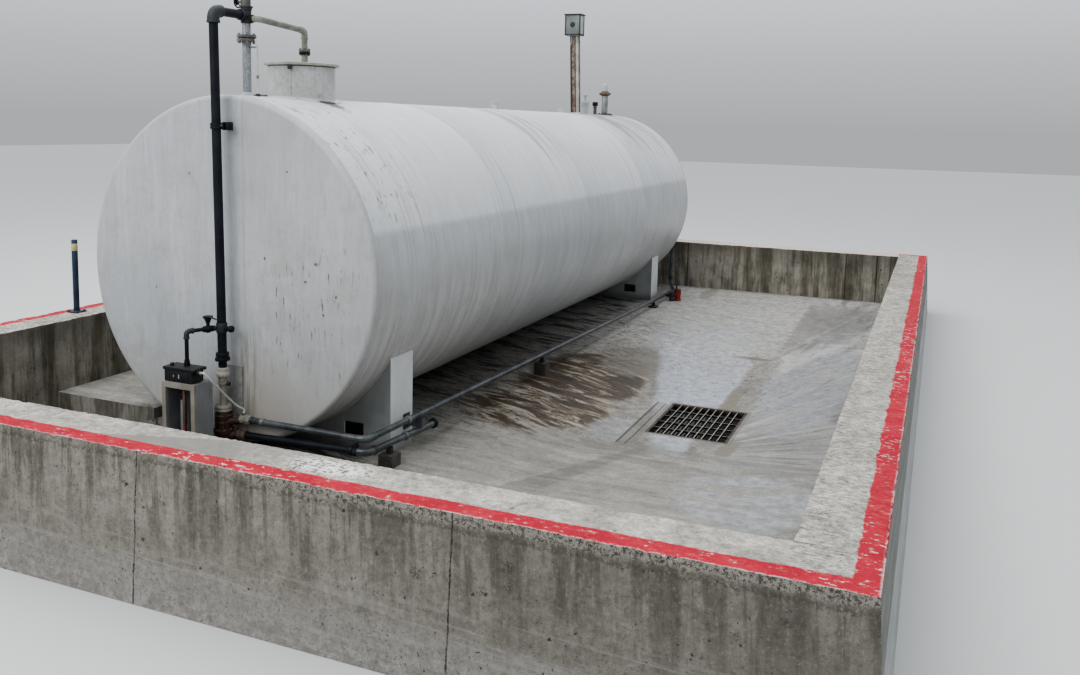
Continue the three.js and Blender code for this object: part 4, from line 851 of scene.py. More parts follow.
class Piece:
    """One mesh built in millimetres from turned, swept, boxed and lofted parts."""

    def __init__(self, name):
        self.name = name
        self.bm = bmesh.new()
        self.slots = []

    def index(self, material):
        if material not in self.slots:
            self.slots.append(material)
        return self.slots.index(material)

    def loft(self, rings, material, caps=True, closed=False):
        """Skins closed rings of points, each with the same count."""
        slot = self.index(material)
        made = [[self.bm.verts.new(p) for p in ring] for ring in rings]
        count = len(rings[0])
        pairs = list(zip(made, made[1:]))
        if closed:
            pairs.append((made[-1], made[0]))
        for low, high in pairs:
            for i in range(count):
                j = (i + 1) % count
                face = self.bm.faces.new((low[i], low[j], high[j], high[i]))
                face.material_index = slot
                face.smooth = True
        if caps and not closed:
            first = self.bm.faces.new(list(reversed(made[0])))
            last = self.bm.faces.new(made[-1])
            first.material_index = slot
            last.material_index = slot

    def turned(self, base, axis, profile, material, sides=32, closed=False):
        """A shape turned about an axis from points of radius and height, low to high."""
        base = Vector(base)
        axis = Vector(axis).normalized()
        turn = UP.rotation_difference(axis)
        rings = []
        for radius, height in profile:
            ring = []
            for i in range(sides):
                angle = 2 * math.pi * i / sides
                point = turn @ spoke(angle, radius)
                ring.append(base + point + axis * height)
            rings.append(ring)
        self.loft(rings, material, closed=closed)

    def lathe(self, x, y, z, profile, material, sides=32):
        """A shape turned about an upright axis."""
        self.turned((x, y, z), UP, profile, material, sides)

    def rod(self, start, end, radius, material, end_radius=None, edge=2.0, sides=28):
        """A bar or cone with small rounded edges."""
        if end_radius is None:
            end_radius = radius
        axis = Vector(end) - Vector(start)
        length = axis.length
        edge = min(edge, length / 4, radius / 3, end_radius / 3)
        profile = [(radius - edge, 0), (radius - edge * 0.3, edge * 0.3), (radius, edge),
                   (end_radius, length - edge), (end_radius - edge * 0.3, length - edge * 0.3),
                   (end_radius - edge, length)]
        self.turned(start, axis, profile, material, sides)

    def upright(self, x, y, z0, z1, radius, material, end_radius=None, edge=2.0, sides=28):
        self.rod((x, y, z0), (x, y, z1), radius, material, end_radius, edge, sides)

    def rods(self, place, *rows):
        """Bars along one line. A row: two distances, radius, material and, if need be, sides and edge."""
        for start, end, radius, material, *rest in rows:
            sides = rest[0] if rest else 28
            edge = rest[1] if len(rest) > 1 else 2.0
            self.rod(place(start), place(end), radius, material, edge=edge, sides=sides)

    def corner_bolts(self, x, y, z, reach, size, height, material):
        for dx in (-reach, reach):
            for dy in (-reach, reach):
                self.hex_head((x + dx, y + dy, z), UP, size, height, material)

    def route(self, points, bend, steps=7):
        """Points along a line whose corners are rounded."""
        corners = [Vector(p) for p in points]
        path = [corners[0]]
        for before, corner, after in zip(corners, corners[1:], corners[2:]):
            into = (corner - before).normalized()
            out = (after - corner).normalized()
            start = corner - into * bend
            end = corner + out * bend
            for i in range(steps + 1):
                t = i / steps
                path.append(start * (1 - t) ** 2 + corner * 2 * t * (1 - t) + end * t ** 2)
        path.append(corners[-1])
        return path

    def tube(self, path, radius, material, sides=24):
        """A round bar swept along points, without twist."""
        path = [Vector(p) for p in path]
        rings = []
        tangent = (path[1] - path[0]).normalized()
        across = tangent.orthogonal().normalized()
        for i, point in enumerate(path):
            if i == 0:
                ahead = path[1] - path[0]
            elif i == len(path) - 1:
                ahead = path[-1] - path[-2]
            else:
                ahead = (path[i + 1] - point).normalized() + (point - path[i - 1]).normalized()
            ahead = ahead.normalized()
            across = (tangent.rotation_difference(ahead) @ across).normalized()
            tangent = ahead
            up = tangent.cross(across)
            rings.append([point + (across * math.cos(a) + up * math.sin(a)) * radius
                          for a in (2 * math.pi * k / sides for k in range(sides))])
        self.loft(rings, material)

    def pipe(self, points, radius, bend, material, sides=24):
        self.tube(self.route(points, bend), radius, material, sides)

    def box(self, low, high, material, edge=1.5, turn=None, pivot=None):
        """A block with bevelled edges."""
        low = Vector(low)
        high = Vector(high)
        made = bmesh.ops.create_cube(self.bm, size=1.0)
        verts = made["verts"]
        size = high - low
        middle = (high + low) / 2
        for vert in verts:
            vert.co = Vector((vert.co.x * size.x, vert.co.y * size.y, vert.co.z * size.z)) + middle
        if turn is not None:
            pivot = Vector(pivot) if pivot is not None else middle
            for vert in verts:
                vert.co = pivot + turn @ (vert.co - pivot)
        slot = self.index(material)
        faces = {face for vert in verts for face in vert.link_faces}
        for face in faces:
            face.material_index = slot
        if edge:
            edges = dict.fromkeys(e for vert in verts for e in vert.link_edges)
            bevelled = bmesh.ops.bevel(self.bm, geom=list(edges), offset=edge, segments=2, profile=0.6,
                                       affect="EDGES", clamp_overlap=True)
            for face in bevelled["faces"]:
                face.material_index = slot

    def hex_head(self, base, axis, size, height, material, washer=True):
        """A bolt head or nut with a washer."""
        axis = Vector(axis).normalized()
        if washer:
            self.turned(base, axis, [(size * 0.72, 0), (size * 0.72, size * 0.14)], material, 16)
        start = Vector(base) + axis * size * 0.12
        self.turned(start, axis, [(size * 0.56, 0), (size * 0.58, height * 0.8), (size * 0.48, height)],
                    material, 6)

    def bolt_ring(self, centre, axis, radius, count, size, height, material, start=0.0):
        centre = Vector(centre)
        axis = Vector(axis).normalized()
        turn = UP.rotation_difference(axis)
        for i in range(count):
            angle = start + 2 * math.pi * i / count
            spot = centre + turn @ spoke(angle, radius)
            self.hex_head(spot, axis, size, height, material)

    def torus(self, centre, axis, radius, thick, material, sides=40, around=12):
        centre = Vector(centre)
        turn = UP.rotation_difference(Vector(axis).normalized())
        rings = []
        for i in range(sides):
            angle = 2 * math.pi * i / sides
            ring = []
            for k in range(around):
                a = 2 * math.pi * k / around
                out = spoke(angle, radius + thick * math.cos(a))
                ring.append(centre + turn @ (out + UP * (thick * math.sin(a))))
            rings.append(ring)
        self.loft(rings, material, closed=True)

    def wheel(self, centre, axis, radius, thick, material, spokes=5):
        """A handwheel: rim, spokes and hub."""
        self.torus(centre, axis, radius - thick, thick, material)
        turn = UP.rotation_difference(Vector(axis).normalized())
        centre = Vector(centre)
        for i in range(spokes):
            angle = 2 * math.pi * i / spokes
            out = turn @ spoke(angle)
            self.rod(centre, centre + out * (radius - thick), thick * 0.7, material, sides=8)
        along = Vector(axis).normalized() * thick
        self.rod(centre - along * 1.5, centre + along * 1.8, thick * 1.9, material, sides=12)

    def done(self, slot, *nodes, crease=35.0):
        """Makes the object in metres, rides it on the body and lets it stand for CAD nodes."""
        bmesh.ops.recalc_face_normals(self.bm, faces=self.bm.faces)
        bmesh.ops.scale(self.bm, vec=(0.001, 0.001, 0.001), verts=self.bm.verts)
        sharp = math.radians(crease)
        for edge in self.bm.edges:
            edge.smooth = len(edge.link_faces) == 2 and edge.calc_face_angle(0.0) < sharp
        for face in self.bm.faces:
            face.smooth = True
        data = bpy.data.meshes.new(self.name)
        self.bm.to_mesh(data)
        self.bm.free()
        for material in self.slots:
            data.materials.append(MATERIALS[material])
        piece = bpy.data.objects.new(self.name, data)
        bpy.context.scene.collection.objects.link(piece)
        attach(piece, "root")
        if nodes:
            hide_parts(*nodes)
        return piece


def wobble(point, scale, seed=0.0):
    """Smooth noise between -1 and 1 at a point given in millimetres."""
    return noise.noise(Vector(point) * scale + Vector((seed, seed * 1.7, seed * 0.3)))


# Bund walls: leaning outer faces, broken arrises and shallow form joints

def broken(s, seed):
    """How far an arris has crumbled at a place along the wall, from 0 to about 1."""
    large = wobble((s, 0, 0), 0.0065, seed)
    small = wobble((s, 0, 0), 0.024, seed + 5)
    tiny = wobble((s, 0, 0), 0.07, seed + 9)
    return min(1.1, max(0.06, 0.22 + 0.5 * large + 0.55 * small + 0.35 * tiny))


def wall(name, axis, reach, inner, outer, joints, seed, spacing):
    """A wall along one axis. Its section runs from the outer foot over the top to the inner foot."""
    stations = list(np.arange(-reach, reach - 4.0, spacing)) + [reach]
    for joint in joints:
        stations = [station for station in stations if abs(station - joint) > 10.0]
        stations += [joint - 6.0, joint - 2.0, joint, joint + 2.0, joint + 6.0]
    stations = sorted(stations)
    out_sign = 1.0 if outer > inner else -1.0
    width = abs(outer - inner)
    section = [("outer", width, z) for z in (0, 160, 320, 460, 580, 660, 705, 735, 755, 770, 781, 787)]
    section += [("top", width - d, 790) for d in (2, 7, 14, 24, 40, 70, 110)]
    section += [("top", across, 790) for across in (width * 0.5, 90, 50, 28, 15, 7, 2)]
    section += [("inner", 0, z) for z in (787, 780, 766, 740, 690, 560, 400, 220, 0)]
    full_width = axis == "x"
    rings = []
    for station in stations:
        ring = []
        crumble = broken(station, seed)
        free_end = INNER_X - 30 if full_width else INNER_Y - 30
        crumble_in = broken(station, seed + 31) if abs(station) < free_end else 0.0
        near = min((abs(station - joint) for joint in joints), default=99.0)
        cut = {0: 4.0, 2: 1.0}.get(round(near), 0.0) if near < 5 else 0.0
        for kind, across, z in section:
            lean = WALL_BATTER * (1 - z / WALL_TOP)
            from_arris = math.hypot(width - across, WALL_TOP - z)
            from_inner_arris = math.hypot(across, WALL_TOP - z)
            rough = 0.75 + 0.5 * wobble((station, across * 2, z * 2), 0.03, seed + 17)
            eaten = 25.0 * crumble * rough * math.exp(-from_arris / 20.0)
            eaten_in = 13.0 * crumble_in * rough * math.exp(-from_inner_arris / 15.0)
            outward = -eaten * 0.8 + eaten_in * 0.8
            raised = -(eaten + eaten_in) * 0.75
            if kind == "outer":
                outward += lean - 1.5 + 1.5 * wobble((station, z, 3), 0.004, seed + 7) - cut
            elif kind == "inner":
                outward += 1.0 + 1.0 * wobble((station, z, 9), 0.004, seed + 9)
            else:
                raised += -1.8 + 1.8 * wobble((station, across, 0), 0.008, seed + 3)
            place = inner + out_sign * (across + outward)
            run = station
            if full_width:
                share = max(0.0, (abs(station) - (HALF_WIDTH - 260)) / 260)
                run = station + math.copysign(lean * share, station)
                if share > 0.999:
                    run -= math.copysign(7.0 * crumble * math.exp(-(WALL_TOP - z) / 26.0), station)
            point = (run, place, z + raised) if axis == "x" else (place, run, z + raised)
            ring.append(Vector(point))
        rings.append(ring)
    piece = Piece(name)
    piece.loft(rings, "bund_concrete")
    return piece


def bund():
    between = INNER_Y - 0.3
    walls = (
        ("front", "x", HALF_WIDTH, -INNER_Y, -HALF_LENGTH, FRONT_JOINTS, 1.0, 10.0),
        ("rear", "x", HALF_WIDTH, INNER_Y, HALF_LENGTH, (), 2.0, 16.0),
        ("left", "y", between, -INNER_X, -HALF_WIDTH, (), 3.0, 16.0),
        ("right", "y", between, INNER_X, HALF_WIDTH, (), 4.0, 12.0),
    )
    for side, *sizes in walls:
        piece = wall("wall_" + side + "_cast", *sizes)
        piece.done("bund_concrete", "bund_" + side + "_wall", crease=60.0)


# Drain grate: a frame with bars both ways

def grate():
    x0, x1 = GRATE_X - GRATE_HALF_X, GRATE_X + GRATE_HALF_X
    y0, y1 = GRATE_Y - GRATE_HALF_Y, GRATE_Y + GRATE_HALF_Y
    rim = 19
    bars = Piece("grate_bars")
    for left, right in ((x0, x0 + rim), (x1 - rim, x1)):
        bars.box((left, y0, GRATE_TOP - 26), (right, y1, GRATE_TOP), "grate", 1.5)
    for near, far in ((y0, y0 + rim), (y1 - rim, y1)):
        bars.box((x0 + 17, near, GRATE_TOP - 26), (x1 - 17, far, GRATE_TOP), "grate", 1.5)
    for i in range(1, 10):
        x = x0 + 20 + i * (x1 - x0 - 40) / 10
        bars.box((x - 4.5, y0 + 15, GRATE_TOP - 25), (x + 4.5, y1 - 15, GRATE_TOP - 1), "grate", 1.0)
    for i in range(1, 5):
        y = y0 + 20 + i * (y1 - y0 - 40) / 5
        bars.box((x0 + 15, y - 3, GRATE_TOP - 24), (x1 - 15, y + 3, GRATE_TOP - 6), "grate", 1.0)
    bars.done("rusty_steel", "drain_grate", crease=60.0)


# Tank shell, ends, manway and lid

def tank():
    sides = 160
    front = TANK_FRONT + 44.3
    rear = TANK_REAR - 44.3
    outer = [(TANK_RADIUS, front)]
    for weld in (-1585.0, 425.0, 2440.0):
        outer += [(TANK_RADIUS, weld - 9), (TANK_RADIUS + 2.2, weld - 4), (TANK_RADIUS + 2.6, weld),
                  (TANK_RADIUS + 2.2, weld + 4), (TANK_RADIUS, weld + 9)]
    outer.append((TANK_RADIUS, rear))
    inner = [(TANK_RADIUS - 10, rear), (TANK_RADIUS - 10, front)]
    shell = Piece("tank_shell_rolled")
    shell.turned((TANK_X, 0, TANK_Z), REAR, outer + inner, "tank_shell", sides, closed=True)
    shell.done("tank_paint", "tank_shell")

    knuckle = 34.0
    flat = TANK_RADIUS - knuckle
    for name, node, face, inward in (("tank_front_head", "tank_front_end", TANK_FRONT, 1),
                                     ("tank_rear_head", "tank_rear_end", TANK_REAR, -1)):
        profile = [(0.5, 0), (flat * 0.3, 0), (flat * 0.6, 0), (flat * 0.9, 0), (flat - 8, 0), (flat, 0)]
        for i in range(1, 8):
            angle = i / 7 * math.pi / 2
            profile.append((flat + knuckle * math.sin(angle), knuckle * (1 - math.cos(angle))))
        profile += [(TANK_RADIUS, 40), (TANK_RADIUS + 2.2, 42), (TANK_RADIUS + 2.2, 44),
                    (TANK_RADIUS - 10, 44), (TANK_RADIUS - 10, knuckle), (flat - 4, 10), (flat * 0.5, 10),
                    (0.5, 10)]
        head = Piece(name)
        head.turned((TANK_X, face, TANK_Z), (0, inward, 0), profile, "tank_end", sides)
        head.done("tank_paint", node, crease=50.0)


def tank_surface(x, lift=0.0):
    return TANK_Z + math.sqrt((TANK_RADIUS + lift) ** 2 - (x - TANK_X) ** 2)


def saddle_ring(radius, lift):
    """Points of a circle round the manway seen from above, laid on the tank's top."""
    ring = flat_ring(radius, 0)
    for point in ring:
        point.z = tank_surface(point.x, lift)
    return ring


def flat_ring(radius, z):
    middle = Vector((TANK_X, MANWAY_Y, z))
    return [middle + spoke(2 * math.pi * i / MANWAY_SIDES, radius) for i in range(MANWAY_SIDES)]


def manway():
    r = MANWAY_RADIUS
    neck = Piece("manway_neck_rolled")
    rings = [saddle_ring(r + 22, 1.0), saddle_ring(r + 14, 6.0), saddle_ring(r + 4, 14.0),
             saddle_ring(r, 24.0), flat_ring(r, MANWAY_TOP - 60), flat_ring(r, MANWAY_TOP - 6),
             flat_ring(r + 2, MANWAY_TOP - 2), flat_ring(r + 2, MANWAY_TOP), flat_ring(r - 10, MANWAY_TOP),
             saddle_ring(r - 10, 0.5)]
    neck.loft(rings, "neck", closed=True)
    pad = [saddle_ring(r + 47, 0.5), saddle_ring(r + 47, 8.0), saddle_ring(r + 44, 10.0),
           saddle_ring(r - 9, 10.0), saddle_ring(r - 9, 0.5)]
    neck.loft(pad, "tank_shell", closed=True)
    angle = math.radians(-72)
    seam_x = TANK_X + (r + 1) * math.cos(angle)
    seam_y = MANWAY_Y + (r + 1) * math.sin(angle)
    neck.tube([(seam_x, seam_y, tank_surface(seam_x, 16)), (seam_x, seam_y, MANWAY_TOP - 6)], 3.4, "neck",
              10)
    # A dark ring under the lid's rim is a painted shadow line.
    neck.torus((TANK_X, MANWAY_Y, MANWAY_TOP - 5), UP, r + 1.5, 3.2, "elbow", 96, 8)
    neck.done("tank_paint", "manway_neck")

    angle_iron = Piece("top_angle_iron")
    angle_iron.box((-1214, -3104, TANK_TOP - 6), (-1052, -3092, TANK_TOP + 16), "rusty", 1.5)
    angle_iron.box((-1214, -3150, TANK_TOP - 22), (-1196, -3092, TANK_TOP + 8), "rusty", 1.5)
    angle_iron.done("rusty_steel")

    lid = Piece("manway_lid_plate")
    base = (TANK_X, MANWAY_Y, MANWAY_TOP)
    lid.turned(base, UP, [(LID_RADIUS - 4, 0.4), (LID_RADIUS, 2), (LID_RADIUS + 1, 9), (LID_RADIUS, 17),
                          (LID_RADIUS - 5, 20), (60, 21.5)], "lid", 96)
    hinge = Vector((TANK_X, MANWAY_Y, MANWAY_TOP - 8)) + spoke(angle, LID_RADIUS - 8)
    lid.box(hinge + Vector((-9, -15, -26)), hinge + Vector((9, 15, 5)), "elbow", 2, Quaternion(UP, angle))
    lid.done("tank_paint", "manway_lid")


# Riser, clamp and the fittings above the tank

def on_riser(z):
    share = (z - RISER_FOOT) / (TEE_Z - 5 - RISER_FOOT)
    return Vector((RISER_X - RISER_LEAN * share, RISER_Y, z))


def riser():
    turn = on_riser(TEE_Z - 5)
    end = Vector((TANK_X - 3, TEE_Y - 45, TEE_Z))
    away = (end - turn).normalized()
    line = Piece("riser_line")
    line.pipe([on_riser(806), turn, end], PIPE, 62, "black", 36)
    line.pipe([on_riser(TEE_Z - 71), turn, turn + away * 74], PIPE + 10, 62, "elbow", 36)
    line.rods(on_riser, (TEE_Z - 85, TEE_Z - 69, PIPE + 13, "elbow", 36))
    line.rod(turn + away * 64, turn + away * 76, PIPE + 12, "elbow", sides=36)
    line.rods(on_riser, (1000, 1066, PIPE + 7, "elbow", 36), (806, 826, 50, "black", 36),
              (833, 862, 44, "black", 8, 3), (824, 834, 40, "black", 36))
    knob = Vector((RISER_X, RISER_Y, 1030))
    line.rod(knob, knob + RIGHT * 62, 15, "black")
    line.turned(knob + RIGHT * 52, RIGHT, [(8, 0), (19, 8), (24, 22), (22, 36), (12, 44)], "black", 24)
    line.done("black_pipe", "riser_pipe")

    z = 2390
    clamp = Piece("riser_clamp_band")
    for ring in (z - 12, z + 12):
        clamp.torus(on_riser(ring), UP, PIPE + 5, 5.0, "black")
    centre = on_riser(z)
    clamp.turned(centre, UP, [(PIPE + 1, -20), (PIPE + 8, -20), (PIPE + 8, 20), (PIPE + 1, 20)], "black",
                 36, closed=True)
    clamp.box((RISER_X - 8, RISER_Y + 4, z - 22), (RISER_X + 34, RISER_Y + 56, z + 22), "black", 3)
    clamp.box((RISER_X - 12, RISER_Y + 50, z - 27), (RISER_X + 36, TANK_FRONT - 0.5, z + 27), "black", 3)
    clamp.turned((RISER_X + 28, RISER_Y + 40, z), RIGHT,
                 [(10, 0), (14, 8), (24, 14), (28, 22), (27, 32), (16, 38)], "black", 28)
    clamp.hex_head((RISER_X + 20, RISER_Y + 6, z + 4), -REAR, 15, 9, "brass")
    clamp.done("black_pipe", "riser_clamp")


def top_fittings():
    tee = Piece("tee_and_valve")
    x = TANK_X
    y = TEE_Y

    def above_tee(distance):
        return Vector((x, y, TEE_Z + distance))

    tee.rods(above_tee, (-52, -34, 38, "elbow", 36), (-36, 36, 34, "elbow", 36), (34, 52, 38, "elbow", 36))
    mouth = Vector((x - 3, y - 45, TEE_Z))
    toward = (mouth - on_riser(TEE_Z - 5)).normalized()
    tee.turned(mouth - toward * 22, toward, [(30.6, 0), (38, 0), (38, 18), (33, 22), (33, 40), (30.6, 40)],
               "elbow", 36, closed=True)
    tee.rod((x, y, TEE_Z - 24), (x + UNION_REACH - 14, y, TEE_Z - 24), 23, "elbow")
    tee.rod((x + UNION_REACH - 22, y, TEE_Z - 24), (x + UNION_REACH, y, TEE_Z - 24), 28, "black", sides=8,
            edge=3)
    tee.rods(above_tee, (50, 64, 45, "elbow", 8, 3), (60, 78, 30, "brass"))
    tee.rod(above_tee(76), above_tee(140), 32, "brass", end_radius=29)
    tee.rods(above_tee, (138, 150, 40, "brass", 8, 3), (148, 166, 41, "elbow", 36))
    tee.rod((x - 20, y, TEE_Z + 92), (x - 66, y, TEE_Z + 92), 10, "brass")
    tee.wheel((x - 70, y, TEE_Z + 92), -RIGHT, 42, 4.8, "black", 5)
    tee.turned((x - 72, y, TEE_Z + 92), -RIGHT, [(10, 0), (20, 3), (20, 7), (12, 10)], "black", 24)
    tee.done("grey_pipe", "top_tee_valve")

    stand = Piece("standpipe_flanged")
    flange_z = 2990
    stand.upright(x, y, TANK_TOP - 8, TEE_Z - 52.5, 29, "galvanised", sides=40)
    stand.lathe(x, y, TANK_TOP - 12, [(50, 0), (50, 8), (44, 16), (35, 28), (29.5, 36)], "tank_end", 40)
    for base in (flange_z - 22, flange_z + 3):
        stand.upright(x, y, base, base + 19, 66, "coupling", sides=48)
    stand.upright(x, y, flange_z - 4, flange_z + 4, 55, "elbow", sides=40)
    stand.upright(x, y, flange_z + 20, flange_z + 44, 34, "galvanised", end_radius=29.5, sides=40)
    stand.upright(x, y, flange_z - 46, flange_z - 20, 29.5, "galvanised", end_radius=34, sides=40)
    for i in range(4):
        bolt = Vector((x, y, flange_z)) + spoke(math.radians(45 + 90 * i), 50)
        stand.rod(bolt - UP * 36, bolt + UP * 37, 6.5, "galvanised", sides=10)
        stand.hex_head(bolt + UP * 22, UP, 20, 11, "galvanised")
        stand.hex_head(bolt - UP * 22, -UP, 20, 11, "galvanised")
    cable_x = x + 88
    hanging = [(cable_x - 14, y, flange_z - 8), (cable_x - 8, y, flange_z - 30), (cable_x, y, flange_z - 60),
               (cable_x, y, flange_z - 110), (cable_x + 1, y, TANK_TOP + 150), (cable_x + 3, y, TANK_TOP - 6)]
    stand.tube(hanging, 6.6, "cable", 14)
    stand.box((x + 8, y - 5, flange_z - 66), (cable_x + 4, y + 5, flange_z - 54), "galvanised", 1)
    stand.upright(cable_x + 2, y, TANK_TOP + 118, TANK_TOP + 140, 10, "crossover", sides=12)
    stand.upright(cable_x + 3, y, TANK_TOP - 14, TANK_TOP + 14, 16, "elbow", sides=16)
    stand.done("galvanised", "standpipe")


def crossover():
    drop_y = MANWAY_Y + 35
    start = Vector((TANK_X + UNION_REACH + 0.3, TEE_Y, TEE_Z - 24))
    level = start + RIGHT * 34
    corner = Vector((TANK_X, drop_y, 3104))
    foot = Vector((TANK_X, drop_y, 2966))
    line = Piece("crossover_line")
    line.pipe([start, level, corner, foot], 22, 30, "crossover", 28)
    back = (level - corner).normalized()
    line.pipe([corner + back * 52, corner, corner - UP * 56], 24, 34, "crossover", 28)
    line.rod(corner + back * 56, corner + back * 44, 27, "crossover")
    line.rod(corner - UP * 46, corner - UP * 62, 27, "crossover")
    line.done("cream_paint", "crossover_pipe")

    flange = Piece("fill_flange_pair")
    low = MANWAY_TOP + 20.4
    flange.upright(TANK_X, drop_y, 2948, 2965.5, 42, "brass", sides=40)
    flange.upright(TANK_X, drop_y, 2930, 2946, 42, "black", sides=40)
    flange.upright(TANK_X, drop_y, 2944, 2950, 34, "black", sides=40)
    flange.bolt_ring((TANK_X, drop_y, 2965), UP, 32, 4, 14, 8, "brass", 0.6)
    flange.bolt_ring((TANK_X, drop_y, 2930.5), -UP, 32, 4, 14, 8, "brass", 0.6)
    flange.upright(TANK_X, drop_y, low, 2932, 23, "crossover", sides=32)
    flange.lathe(TANK_X, drop_y, low, [(38, 0), (37, 4), (29, 9), (24, 15)], "tank_end", 32)
    flange.done("black_pipe", "fill_flange")


# Branch with its lever valve, down to the switch box

CAB_X0 = -1218
CAB_X1 = -956
CAB_Y0 = -4000
CAB_TOP = 700
BOX_TOP = CAB_TOP + 104


def branch():
    z = 1033.0
    drop = Vector((-1092, -3905, z))
    start = Vector((RISER_X - 28, RISER_Y - 33, z))
    toward = (drop - start).normalized()

    def along(distance):
        return start + toward * distance

    line = Piece("branch_line")
    foot = Vector((drop.x, drop.y, BOX_TOP + 0.4))
    line.pipe([along(0.5), drop, foot], 13, 26, "black", 20)
    line.pipe([drop - toward * 44, drop, drop - UP * 50], 17.5, 26, "elbow", 20)
    line.rod(drop - toward * 48, drop - toward * 34, 20, "elbow")
    line.rod(drop - UP * 36, drop - UP * 52, 20, "elbow")
    line.rod(foot, foot + UP * 20, 20.5, "black", sides=8, edge=2)
    line.rod(foot + UP * 18, foot + UP * 38, 17, "black")
    line.rod(along(0.5), along(16), 19, "elbow")
    line.done("black_pipe", "branch_pipe")

    valve = Piece("branch_lever_valve")
    middle = along(50)
    valve.turned(along(18), toward, [(14, 0), (21, 0), (21, 14), (26, 22), (27, 32), (26, 42), (21, 50),
                                     (21, 64), (14, 64)], "black", 24, closed=True)
    valve.rod(middle + UP * 10, middle + UP * 44, 11, "black")
    valve.turned(middle + UP * 40, UP, [(14, 0), (17, 12), (22, 26), (32, 38), (34, 46), (30, 48)],
                 "black", 28)
    tip = middle + Vector((118, -40, 80))
    valve.tube([middle + UP * 74, middle + Vector((20, -8, 84)), middle + Vector((44, -16, 84)), tip], 5.2,
               "elbow", 10)
    valve.done("black_pipe", "branch_valve")


# Check valve, pump, cabinet fittings, switch box and cable

def pump():
    x = RISER_X
    y = RISER_Y
    valve = Piece("check_valve_column")
    valve.lathe(x, y, 490, [(23, 0), (23, 120), (25, 140), (29, 150), (31, 158), (32, 210)], "cream", 36)
    valve.lathe(x, y, 696, [(34, 0), (45, 3), (47, 10), (46, 26), (40, 34), (38, 42), (41, 46), (39, 60),
                            (33, 64)], "dome", 36)
    valve.lathe(x, y, 756, [(30, 0), (30, 4), (26, 6), (26, 47), (24, 49.6)], "black", 32)
    valve.lathe(x, y, 770, [(26, 0), (29, 2), (29, 16), (26, 18)], "black", 32)
    valve.lathe(x, y, 456, [(56, 0), (60, 3), (60, 15), (52, 18), (52, 20), (58, 22), (58, 32), (50, 36),
                            (26, 40)], "cream", 36)
    valve.bolt_ring((x, y, 488), UP, 47, 6, 15, 7, "cream", 0.3)
    valve.upright(x, y, 640, 652, 34, "cream", sides=8, edge=3)
    valve.rod((x, y, 650), (x + 46, y - 6, 650), 11, "cream")
    valve.rod((x + 42, y - 6, 650), (x + 62, y - 8, 650), 15, "elbow", sides=8)
    valve.done("cream_paint", "check_valve")

    body = Piece("pump_casing")
    body.lathe(x, y, 141, [(44, 0), (44, 120), (50, 132), (58, 146), (60, 160), (68, 164), (68, 186),
                           (59, 190), (58, 220), (55, 250), (58, 280), (57, 300), (52, 308), (50, 314)],
               "pump", 36)
    body.bolt_ring((x, y, 327), UP, 62, 8, 14, 8, "rusty")
    for i in range(6):
        rib = Vector((x, y, 336)) + spoke(math.radians(60 * i + 20), 58)
        body.rod(rib, rib + UP * 104, 5.5, "pump", sides=10)
    body.box((x - 79, y - 79, 140.5), (x + 79, y + 79, 154), "rusty", 3)
    body.corner_bolts(x, y, 154, 60, 20, 10, "rusty")

    def outlet(z):
        return lambda distance: Vector((x + distance, RUN_Y, z))

    body.rod((x, y - 24, MAIN_FRONT_Z - 20), (x + 118, RUN_Y, MAIN_FRONT_Z - 8), 26, "pump")
    body.rods(outlet(MAIN_FRONT_Z), (112, 132, 34, "cream", 8, 4), (130, 150, 32, "cream", 32))
    body.rod((x, y - 24, LOWER_START_Z), (x + 92, RUN_Y, LOWER_START_Z), 30, "pump")
    body.rods(outlet(LOWER_START_Z), (82, 112, 35, "rusty", 8, 4))
    body.rods(outlet(MAIN_FRONT_Z - 12), (66, 77, 37, "rusty"), (84, 95, 37, "rusty"))
    body.bolt_ring((x + 95, RUN_Y, MAIN_FRONT_Z - 12), RIGHT, 30, 6, 11, 7, "brass", 0.4)
    body.rods(outlet(LOWER_START_Z), (60, 72, 38, "rusty"))
    for band in (262, 306, 384, 428):
        body.torus((x, y, band), UP, 58, 4.0, "rusty", 36, 8)
    body.upright(-838, RUN_Y, MAIN_FRONT_Z + 20, MAIN_FRONT_Z + 42, 15, "brass", sides=8)
    body.done("pump_paint", "pump_body")


